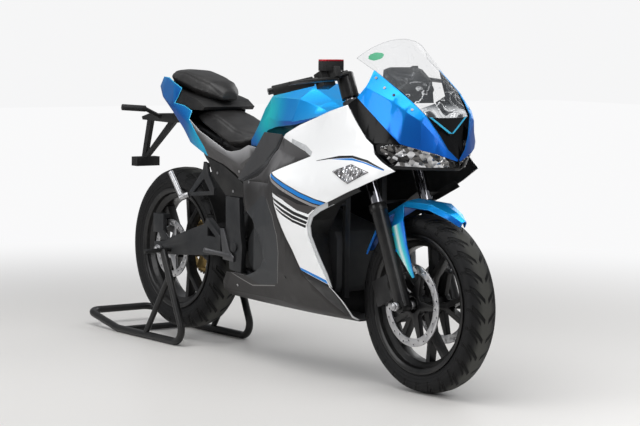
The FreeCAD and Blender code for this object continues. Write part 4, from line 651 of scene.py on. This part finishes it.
# The rims' own finishes: the cyan on the blue panels is a painted highlight, the grey on the white panels'
# lip is painted shade.
RIM = {
    "nose_panels": "cyan_edge", "tail_fairings": "cyan_edge", "tank_cover": "cyan_edge",
    "front_fender": "cyan_edge", "white_fairings": "lip_grey", "windscreen": "screen_edge",
    "headlamps": "chrome", "side_lamps": "gloss_black",
}
dressed = {}
for node in SLOTS:
    if node in REPLACED:
        continue
    piece = own_mesh(f"{node}_dressed", node)
    piece.data.materials.append(FINISHES[node if node in FINISHES else SLOTS[node]])
    soften(piece, EDGE.get(node, PLAIN_EDGE), RIM.get(node))
    dressed[node] = piece
print("dressed:", len(dressed))

# %% [markdown]
# ## Painted shapes
# The stripes are thin films on the panels. Each is an outline in the side view. The panel's faces
# are cut along the outline's edges and the faces inside it take the stripe's finish, so the stripe
# follows the panel's curve exactly and has no thickness that could float off it.

# %% Painting helper


def is_inside(point, corners):
    """True where a point lies in a convex outline."""
    turns = []
    for (ax, az), (bx, bz) in zip(corners, [*corners[1:], corners[0]]):
        turns.append((bx - ax) * (point[1] - az) - (bz - az) * (point[0] - ax))
    return all(turn > 0 for turn in turns) or all(turn < 0 for turn in turns)


def paint(node, corners, tint, sides=(-1, 1), across=0, facing=1):
    """Give the finish to the outer faces of a panel inside a convex outline, in metres."""
    piece = dressed[node]
    index = tint_index(piece, tint)
    low = [min(corner[i] for corner in corners) for i in (0, 1)]
    high = [max(corner[i] for corner in corners) for i in (0, 1)]
    mesh = bmesh.new()
    mesh.from_mesh(piece.data)
    for side in sides:
        faces = []
        for face in mesh.faces:
            if face.normal[facing] * side < 0.05 or face.calc_center_median()[facing] * side < 0:
                continue
            spots = [(vert.co[across], vert.co[2]) for vert in face.verts]
            if max(s[0] for s in spots) < low[0] or min(s[0] for s in spots) > high[0]:
                continue
            if max(s[1] for s in spots) < low[1] or min(s[1] for s in spots) > high[1]:
                continue
            faces.append(face)
        for (ax, az), (bx, bz) in zip(corners, [*corners[1:], corners[0]]):
            normal = Vector((0, 0, 0))
            normal[across] = bz - az
            normal[2] = ax - bx
            spot = Vector((0, 0, az))
            spot[across] = ax
            edges = {edge for face in faces for edge in face.edges}
            verts = {vert for face in faces for vert in face.verts}
            cut = bmesh.ops.bisect_plane(
                mesh, geom=[*faces, *edges, *verts], dist=0.00001, plane_co=spot, plane_no=normal
            )
            faces = [item for item in cut["geom"] if isinstance(item, bmesh.types.BMFace)]
        for face in faces:
            middle = face.calc_center_median()
            if is_inside((middle[across], middle[2]), corners):
                face.material_index = index
    mesh.to_mesh(piece.data)
    mesh.free()


def side_points(*pairs):
    """Side view points given in millimetres from the rear axle's ground point."""
    return [(REAR_X + x * MM, z * MM) for x, z in pairs]


def ribbon(node, upper, lower, tint):
    """Paint the strip between two edges that have as many points as each other."""
    top, low = side_points(*upper), side_points(*lower)
    for corners in zip(top, top[1:], low[1:], low):
        paint(node, corners, tint)


def tint_where(node, tint, test):
    """Give the finish to the faces of a dressed node that pass a test."""
    piece = dressed[node]
    index = tint_index(piece, tint)
    for face in piece.data.polygons:
        if test(face):
            face.material_index = index


def looks_in(face):
    """True where a face looks in towards the middle of the bike."""
    side = math.copysign(1, face.center.y)
    return face.normal.y * side < -0.25 and abs(face.center.y) > 0.02


SHELLS = (
    "white_fairings", "belly_pan", "tail_fairings", "nose_panels", "seat_side_panels", "mid_panels",
    "front_fender",
)
for node in SHELLS:
    tint_where(node, "black_plastic", looks_in)
MOUTH_CORNER = at(1120, 0, 615)
tint_where(
    "mouth_lips",
    "black_plastic",
    lambda face: face.center.z > MOUTH_CORNER.z and face.center.x > MOUTH_CORNER.x,
)

# %% [markdown]
# The upper set sweeps down from the step to the duct: a blue line, a grey band, a dark wedge, then
# three black stripes. The lower corner is black under a second blue line.

# %% Stripes on the white fairing
BLUE_TOP = ((864, 693), (962, 663), (1048, 638), (1127, 621), (1182, 614))
BLUE_LOW = ((858, 683), (951, 652), (1036, 627), (1112, 611), (1170, 605))
GREY_TOP = [(x, z - 4) for x, z in BLUE_LOW]
GREY_LOW = ((852, 668), (928, 643), (1020, 618), (1100, 600), (1158, 594))
DARK_LOW = ((852, 630), (928, 612), (1020, 594), (1090, 590), (1140, 586))
STRIPES = (
    # finish, upper edge, lower edge
    ("stripe_black", [(x, z + 4) for x, z in BLUE_TOP], GREY_TOP),
    ("stripe_blue", BLUE_TOP, BLUE_LOW),
    ("stripe_grey", GREY_TOP, GREY_LOW),
    ("stripe_black", GREY_LOW, DARK_LOW),
    (
        "stripe_dark",
        ((905, 626), (968, 617), (1028, 601), (1128, 597)),
        ((905, 624), (957, 602), (1026, 579), (1088, 571)),
    ),
    (
        "stripe_black",
        ((866, 613), (946, 592), (1008, 574), (1090, 560)),
        ((872, 603), (939, 582), (1003, 563), (1082, 550)),
    ),
    (
        "stripe_black",
        ((870, 596), (937, 576), (1000, 560), (1080, 545)),
        ((880, 586), (932, 567), (995, 549), (1074, 536)),
    ),
    (
        "stripe_black",
        ((880, 579), (934, 562), (996, 545), (1074, 532)),
        ((893, 570), (929, 555), (992, 537), (1070, 523)),
    ),
    (
        "stripe_blue",
        ((1000, 384), (1053, 373), (1098, 362), (1150, 348)),
        ((1004, 375), (1051, 364), (1096, 352), (1150, 337)),
    ),
    (
        "stripe_black",
        ((1010, 374), (1051, 363), (1096, 351), (1150, 336), (1200, 322)),
        ((1034, 322), (1051, 300), (1085, 255), (1130, 205), (1200, 190)),
    ),
    (
        "stripe_black",
        ((1109, 752), (1173, 764), (1227, 774), (1294, 779), (1365, 768), (1435, 742)),
        ((1109, 750), (1174, 760), (1237, 767), (1295, 771), (1359, 761), (1435, 740)),
    ),
    (
        "stripe_blue",
        ((1200, 762), (1237, 766), (1295, 770), (1359, 760), (1435, 740)),
        ((1200, 761), (1237, 762), (1298, 763), (1347, 757), (1435, 737)),
    ),
    # A grey strip on the white panel's lip: painted shade.
    ("lip_grey", ((935, 816), (1032, 799), (1076, 779)), ((935, 800), (1024, 782), (1072, 765))),
)
for tint, upper, lower in STRIPES:
    ribbon("white_fairings", upper, lower, tint)
print("white panel finishes:", len(dressed["white_fairings"].data.materials))

# %% [markdown]
# The belly has a recessed part behind a crease, and a ledge; thin painted highlights run along the crease
# and the ledge.

# %% Belly and mudguard
CREASE = ((722, 604), (790, 600), (850, 548), (872, 480), (868, 420), (845, 348), (806, 303), (693, 282))
RECESS = ((600, 536), (656, 514), (711, 465), (739, 419), (743, 384), (717, 356), (671, 332), (583, 307))
HIGHLIGHT_LINE = CREASE[1:7]
LEDGE_TOP = ((455, 306), (619, 277), (787, 295))
LEDGE_LOW = ((466, 302), (618, 273), (782, 291))
ribbon("belly_pan", CREASE, RECESS, "slate_paint")
# A thin painted highlight along the crease, and another on the ledge.
ribbon("belly_pan", [(x + 2, z) for x, z in HIGHLIGHT_LINE], [(x - 1, z - 1) for x, z in HIGHLIGHT_LINE], "crease_grey")
ribbon("belly_pan", LEDGE_TOP, LEDGE_LOW, "crease_grey")
# The lower fender legs take the teal finish with its painted white highlight.
tint_where("front_fender", "teal_paint", lambda face: face.center.z < 0.56 and abs(face.center.y) > 0.07)

# %% [markdown]
# A light blue piping runs in a V round the black wedge under the screen. It is painted in the front
# view, on the faces that look forward.

# %% Piping
PIPING_ARM = ((0.083, 0.914), (0.074, 0.914), (0.0, 0.859), (0.0, 0.850))
for side in (-1, 1):
    for node in ("nose_centre", "nose_trim"):
        paint(node, [(side * y, z) for y, z in PIPING_ARM], "cyan_edge", sides=(1,), across=1, facing=0)

# %% [markdown]
# The ends of the handlebars are weights of plain metal, and the folded foot pegs are bare castings.

# %% Bare metal
BAR_END_Y = 0.337
PEG_REAR_X = -0.435
tint_where("handlebars", "chrome", lambda face: abs(face.center.y) > BAR_END_Y)
tint_where("pillion_pegs", "cast_peg", lambda face: face.center.x < PEG_REAR_X)

# %% [markdown]
# The green oval is a plain film sticker near the screen's rear edge.

# %% Sticker
STICKER_X, STICKER_Z = 1290, 1101
HALF_LENGTH, HALF_HEIGHT = 21, 13
OVAL = []
for corner in range(16):
    angle = math.tau * corner / 16
    OVAL.append((STICKER_X + HALF_LENGTH * math.cos(angle), STICKER_Z + HALF_HEIGHT * math.sin(angle)))
paint("windscreen", side_points(*OVAL), "green_film", sides=(-1,))

# %% [markdown]
# ## Fasteners
# Button-head screws hold the screen and the panels. One is modelled: a short cylinder whose top is
# drawn in twice for the crown and once more for the socket. Each screw is a copy that stands on the
# panel, square to it.

# %% Screws


def cylinder(name, sides, radius, depth, location, rotation=(0, 0, 0)):
    """A cylinder whose place and turn are in its mesh."""
    bpy.ops.object.select_all(action="DESELECT")
    bpy.ops.mesh.primitive_cylinder_add(
        vertices=sides, radius=radius, depth=depth, location=location, rotation=rotation
    )
    bpy.ops.object.transform_apply(location=True, rotation=True, scale=True)
    piece = bpy.context.object
    piece.name = name
    return piece


def shape_top(piece, steps):
    """Draw in the top face in steps of (inset, rise)."""
    for face in piece.data.polygons:
        face.select = face.normal.z > 0.9
    bpy.ops.object.mode_set(mode="EDIT")
    bpy.ops.mesh.select_mode(type="FACE")
    for inset, rise in steps:
        bpy.ops.mesh.inset(thickness=inset, depth=rise)
    bpy.ops.object.mode_set(mode="OBJECT")


def model_screw(name, radius, height):
    """A round-headed screw with a socket, standing on its own floor."""
    screw = cylinder(name, 20, radius, height, (0, 0, height / 2))
    crown = (radius * 0.22, height * 0.35)
    rim = (radius * 0.28, height * 0.12)
    socket = (radius * 0.04, -height * 0.7)
    shape_top(screw, (crown, rim, socket))
    bpy.ops.object.shade_smooth_by_angle(angle=math.radians(40))
    return screw


def put(master, name, matrix, body, tint):
    """A copy of a modelled piece, with its own mesh, at a place."""
    copy = bpy.data.objects.new(name, master.data.copy())
    scene.collection.objects.link(copy)
    copy.data.transform(matrix)
    copy.data.materials.clear()
    copy.data.materials.append(FINISHES[tint])
    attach(copy, body)
    return copy


def seat_on(node, start, direction, sink=0.0004):
    """Where a straight line first meets a dressed node, as a place that faces out of it."""
    hit, spot, normal, _ = dressed[node].ray_cast(Vector(start), Vector(direction))
    if not hit:
        raise ValueError(f"nothing of {node} lies there")
    return Matrix.Translation(spot - normal * sink) @ normal.to_track_quat("Z", "Y").to_matrix().to_4x4()


def on_side(node, x, z, side):
    """A seat on the outer face of a panel, at a side view point."""
    (px, pz), = side_points((x, z))
    return seat_on(node, (px, side * 0.6, pz), (0, -side, 0))


screw = model_screw("screw", 0.0055, 0.003)
SIDE_SCREWS = (
    ("nose_panels", 1332, 1032, "screw_metal"),
    ("nose_panels", 1376, 1001, "screw_metal"),
    ("nose_panels", 1418, 979, "black_metal"),
    ("nose_panels", 1488, 934, "screw_metal"),
    ("seat_side_panels", 516, 675, "steel"),
    ("belly_pan", 614, 644, "steel"),
    ("frame_covers", 474, 600, "steel"),
    ("frame_covers", 372, 660, "steel"),
    ("belly_pan", 887, 334, "black_metal"),
    ("belly_pan", 500, 262, "steel"),
    ("front_fender", 1368, 520, "stripe_blue"),
    ("front_fender", 1392, 470, "stripe_blue"),
)
count = 0
for node, x, z, tint in SIDE_SCREWS:
    for side in (-1, 1):
        put(screw, f"screw_{count}", on_side(node, x, z, side), BODIES[node], tint)
        count += 1
print("screws:", count)

# %% Axle nuts


def model_nut(name, radius, height):
    """A hexagonal nut with a rounded crown and the end of its axle."""
    nut = cylinder(name, 6, radius, height, (0, 0, height / 2))
    crown = (radius * 0.12, radius * 0.06)
    flat = (radius * 0.3, 0.0)
    axle_end = (radius * 0.02, height * 0.35)
    shape_top(nut, (crown, flat, axle_end))
    only(nut)
    apply(nut, "BEVEL", width=radius * 0.05, segments=2)
    return nut


def facing(spot, direction):
    """A place whose own Z looks along a direction."""
    return Matrix.Translation(spot) @ Vector(direction).to_track_quat("Z", "Y").to_matrix().to_4x4()


nut = model_nut("nut", 0.013, 0.007)
axle_low, axle_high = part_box("front_axle")
rear_low, rear_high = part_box("rear_axle")
rear_z = (rear_low[2] + rear_high[2]) / 2
spots = (
    ("front_nut", (FRONT_X, axle_low[1], (axle_low[2] + axle_high[2]) / 2), -1, "steering"),
    ("rear_nut", (REAR_X, rear_low[1], rear_z), -1, "chassis"),
    ("rear_nut_left", (REAR_X, rear_high[1], rear_z), 1, "chassis"),
)
for name, spot, side, body in spots:
    put(nut, name, facing(Vector(spot), (0, side, 0)), body, "steel")

# %% [markdown]
# ## The front brake reservoir
# Its cap is a red plate with two screws. The plate takes its outline from the top of the black box
# that it closes: that face is copied, drawn in a little, and given its thickness.

# %% Reservoir cap
reservoir_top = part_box("bar_controls")[1][2]
cap_source = frame["nodes"]["bar_controls"]
cap_mesh = bmesh.new()
cap_mesh.from_mesh(cap_source.data)
bmesh.ops.remove_doubles(cap_mesh, verts=cap_mesh.verts, dist=0.00002)
spare = [face for face in cap_mesh.faces if face.calc_center_median().z < reservoir_top - 0.0002]
bmesh.ops.delete(cap_mesh, geom=spare, context="FACES")
bmesh.ops.dissolve_limit(cap_mesh, angle_limit=0.01, verts=cap_mesh.verts, edges=cap_mesh.edges)
cap_data = bpy.data.meshes.new("reservoir_cap")
cap_mesh.to_mesh(cap_data)
cap_mesh.free()
cap = bpy.data.objects.new("reservoir_cap", cap_data)
scene.collection.objects.link(cap)
only(cap)
apply(cap, "SOLIDIFY", thickness=0.0055, offset=1.0)
cap.data.transform(Matrix.Translation((0, 0, 0.0002)))
cap.data.materials.append(FINISHES["red_anodised"])
soften(cap, 0.0012)
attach(cap, "steering")
print("cap top:", round(max(vert.co.z for vert in cap.data.vertices), 4))

# %% [markdown]
# ## The chain
# The loop runs on the two sprockets' pitch circles. One link is modelled, a roller between two
# rounded plates, and copies of it follow the loop a pitch apart, every other one narrower.

# %% Chain links
PITCH = 0.015875
chain_low, chain_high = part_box("chain")
CHAIN_Y = (chain_low[1] + chain_high[1]) / 2
rear_centre = Vector((REAR_X, CHAIN_Y, rear_z))
motor_centre = at(625, 0, 395)
motor_centre.y = CHAIN_Y
REAR_PITCH, FRONT_PITCH = 0.104, 0.031


def circle_spot(centre, radius, angle):
    """A point of a pitch circle, and the way the loop runs past it."""
    out = Vector((math.cos(angle), 0, math.sin(angle)))
    return centre + out * radius, Vector((out.z, 0, -out.x))


def loop_points():
    """The pitch line: two straight runs that touch both circles, and an arc round each."""
    line = motor_centre - rear_centre
    length = math.hypot(line.x, line.z)
    base = math.atan2(line.z, line.x)
    lean = math.acos((REAR_PITCH - FRONT_PITCH) / length)
    run = math.sqrt(length**2 - (REAR_PITCH - FRONT_PITCH) ** 2)
    stretches = (
        # length, circle's centre, its radius, angle where the stretch starts, whether it is an arc
        (run, rear_centre, REAR_PITCH, base + lean, False),
        (2 * lean * FRONT_PITCH, motor_centre, FRONT_PITCH, base + lean, True),
        (run, motor_centre, FRONT_PITCH, base - lean, False),
        ((math.tau - 2 * lean) * REAR_PITCH, rear_centre, REAR_PITCH, base - lean, True),
    )
    whole = sum(stretch[0] for stretch in stretches)
    links_in_loop = 2 * round(whole / PITCH / 2)
    found = []
    for index in range(links_in_loop):
        way = whole * index / links_in_loop
        for reach, centre, radius, angle, is_arc in stretches:
            if way < reach:
                break
            way -= reach
        if is_arc:
            found.append(circle_spot(centre, radius, angle - way / radius))
        else:
            start, along = circle_spot(centre, radius, angle)
            found.append((start + along * way, along))
    return found


def join(pieces):
    """Join pieces into the first of them."""
    only(pieces[0])
    for piece in pieces[1:]:
        piece.select_set(True)
    bpy.ops.object.join()
    return bpy.context.object


def model_link(name, plate_out):
    """Two rounded plates and a roller, along the link's own X, across its Y."""
    lying = (math.pi / 2, 0, 0)
    parts = []
    for side in (-1, 1):
        plate = cylinder("plate", 12, 0.0062, 0.0016, (0, side * plate_out, 0), lying)
        for vert in plate.data.vertices:
            vert.select = vert.co.x > 0.0001
        bpy.ops.object.mode_set(mode="EDIT")
        bpy.ops.mesh.select_mode(type="VERT")
        bpy.ops.transform.translate(value=(PITCH, 0, 0))
        bpy.ops.object.mode_set(mode="OBJECT")
        parts.append(plate)
    parts.append(cylinder("roller", 10, 0.0046, 2 * plate_out + 0.002, (0, 0, 0), lying))
    link = join(parts)
    link.name = name
    bpy.ops.object.shade_smooth_by_angle(angle=math.radians(40))
    return link


links_made = []
masters = (model_link("outer_link", 0.0062), model_link("inner_link", 0.0044))
across = Vector((0, 1, 0))
for index, (spot, along) in enumerate(loop_points()):
    link = bpy.data.objects.new(f"link_{index}", masters[index % 2].data.copy())
    scene.collection.objects.link(link)
    turned = Matrix((along, across, along.cross(across))).transposed().to_4x4()
    link.data.transform(Matrix.Translation(spot) @ turned)
    links_made.append(link)
print("links:", len(links_made))
chain = join(links_made)
chain.name = "chain_links"
chain.data.materials.clear()
chain.data.materials.append(FINISHES["chain_steel"])
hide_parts("chain")
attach(chain, "chassis")
for master in masters:
    bpy.data.objects.remove(master)

# %% [markdown]
# ## The seats
# Each seat is a foam pad in a stretched cover. A copy of its solid is drawn in a little, given an
# even mesh, and blown up as cloth with a soft pressure, which rounds it as foam does. How far a
# point may move is limited, so the pad stays in its place. A seam groove runs along each side.

# %% Cushions
VOXEL = 0.0065
DRAW_IN = 0.003
MOST_MOVE = 0.006
GROOVE_DEPTH = 0.0016
GROOVE_WIDTH = 0.0032

def width_table(piece, steps=14):
    """Half width of a piece at even stations along its length."""
    xs = [vert.co.x for vert in piece.data.vertices]
    low, high = min(xs), max(xs)
    table = [0.0] * (steps + 1)
    for vert in piece.data.vertices:
        index = round((vert.co.x - low) / (high - low) * steps)
        table[index] = max(table[index], abs(vert.co.y))
    return low, high, table


def half_at(table, x):
    """Half width at x, straight between the stations."""
    low, high, widths = table
    share = min(max((x - low) / (high - low), 0), 1) * (len(widths) - 1)
    index = min(int(share), len(widths) - 2)
    return widths[index] + (widths[index + 1] - widths[index]) * (share - index)


def cushion(node, limit, seam):
    """A padded seat in the place of its solid."""
    pad = own_mesh(f"{node}_pad", node)
    pad.data.materials.append(FINISHES["seat_cover"])
    only(pad)
    apply(pad, "REMESH", mode="VOXEL", voxel_size=VOXEL)
    rest = [vert.co.copy() for vert in pad.data.vertices]
    normals = [vert.normal.copy() for vert in pad.data.vertices]
    for vert, normal in zip(pad.data.vertices, normals):
        vert.co -= normal * DRAW_IN
    cloth = pad.modifiers.new("foam_pressure", "CLOTH")
    cloth.settings.use_pressure = True
    cloth.settings.uniform_pressure_force = 6.0
    cloth.settings.effector_weights.gravity = 0.0
    cloth.settings.quality = 5
    for step in range(1, 16):
        scene.frame_set(step)
    bpy.ops.object.modifier_apply(modifier=cloth.name)
    scene.frame_set(1)
    for vert, start, normal in zip(pad.data.vertices, rest, normals):
        moved = vert.co - start
        out = moved.dot(normal)
        if out > limit:
            moved -= normal * (out - limit)
        if moved.length > MOST_MOVE:
            moved *= MOST_MOVE / moved.length
        vert.co = start + moved
        if normal.z < -0.5:
            vert.co.z = max(vert.co.z, start.z)
    apply(pad, "SMOOTH", iterations=18)
    apply(pad, "SUBSURF", levels=1, render_levels=1)
    table = width_table(pad)
    for vert in pad.data.vertices:
        if vert.normal.z < 0.15:
            continue
        off = abs(abs(vert.co.y) - seam * half_at(table, vert.co.x))
        vert.co -= vert.normal * GROOVE_DEPTH * math.exp(-((off / GROOVE_WIDTH) ** 2))
    bpy.ops.object.shade_smooth()
    return pad


rider = cushion("rider_seat", 0.005, 0.80)
pillion = cushion("pillion_seat", 0.004, 0.80)
print("seat faces:", len(rider.data.polygons), len(pillion.data.polygons))

# %% [markdown]
# ## Inner covers
# Under the rider seat a black pan closes the space between the side panels. Behind the frame plate
# a black cover hides the wiring. Each is a box that is cut across into stations, whose sizes are
# then set one by one, and whose edges are rounded.

# %% Shaped covers
COVER_EDGE = 0.004


def cover(name, rows, tint, body="chassis"):
    """A closed form through rows of (x, half width, low, high) in millimetres, from rear to front."""
    bpy.ops.object.select_all(action="DESELECT")
    bpy.ops.mesh.primitive_cube_add(size=1, location=(0, 0, 0))
    piece = bpy.context.object
    piece.name = name
    cutter = bmesh.new()
    cutter.from_mesh(piece.data)
    for index in range(1, len(rows) - 1):
        station = (-0.5 + index / (len(rows) - 1), 0, 0)
        geometry = [*cutter.faces, *cutter.edges, *cutter.verts]
        bmesh.ops.bisect_plane(cutter, geom=geometry, plane_co=station, plane_no=(1, 0, 0))
    cutter.to_mesh(piece.data)
    cutter.free()
    for vert in piece.data.vertices:
        row = rows[round((vert.co.x + 0.5) * (len(rows) - 1))]
        vert.co = at(row[0], math.copysign(row[1], vert.co.y), row[3] if vert.co.z > 0 else row[2])
    soften(piece, COVER_EDGE)
    piece.data.materials.append(FINISHES[tint])
    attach(piece, body)
    return piece


COVERS = (
    ("seat_pan", ((212, 66, 752, 800), (300, 70, 665, 792), (400, 76, 610, 785), (500, 72, 580, 780))),
    ("wiring_cover", ((398, 56, 288, 342), (468, 58, 280, 356), (500, 62, 292, 520), (590, 62, 290, 520))),
)
for name, rows in COVERS:
    cover(name, rows, "black_plastic")

# %% [markdown]
# The modelled screw and nut were only patterns for their copies, so they go.

# %% Clear the patterns
for pattern in (screw, nut):
    bpy.data.objects.remove(pattern)
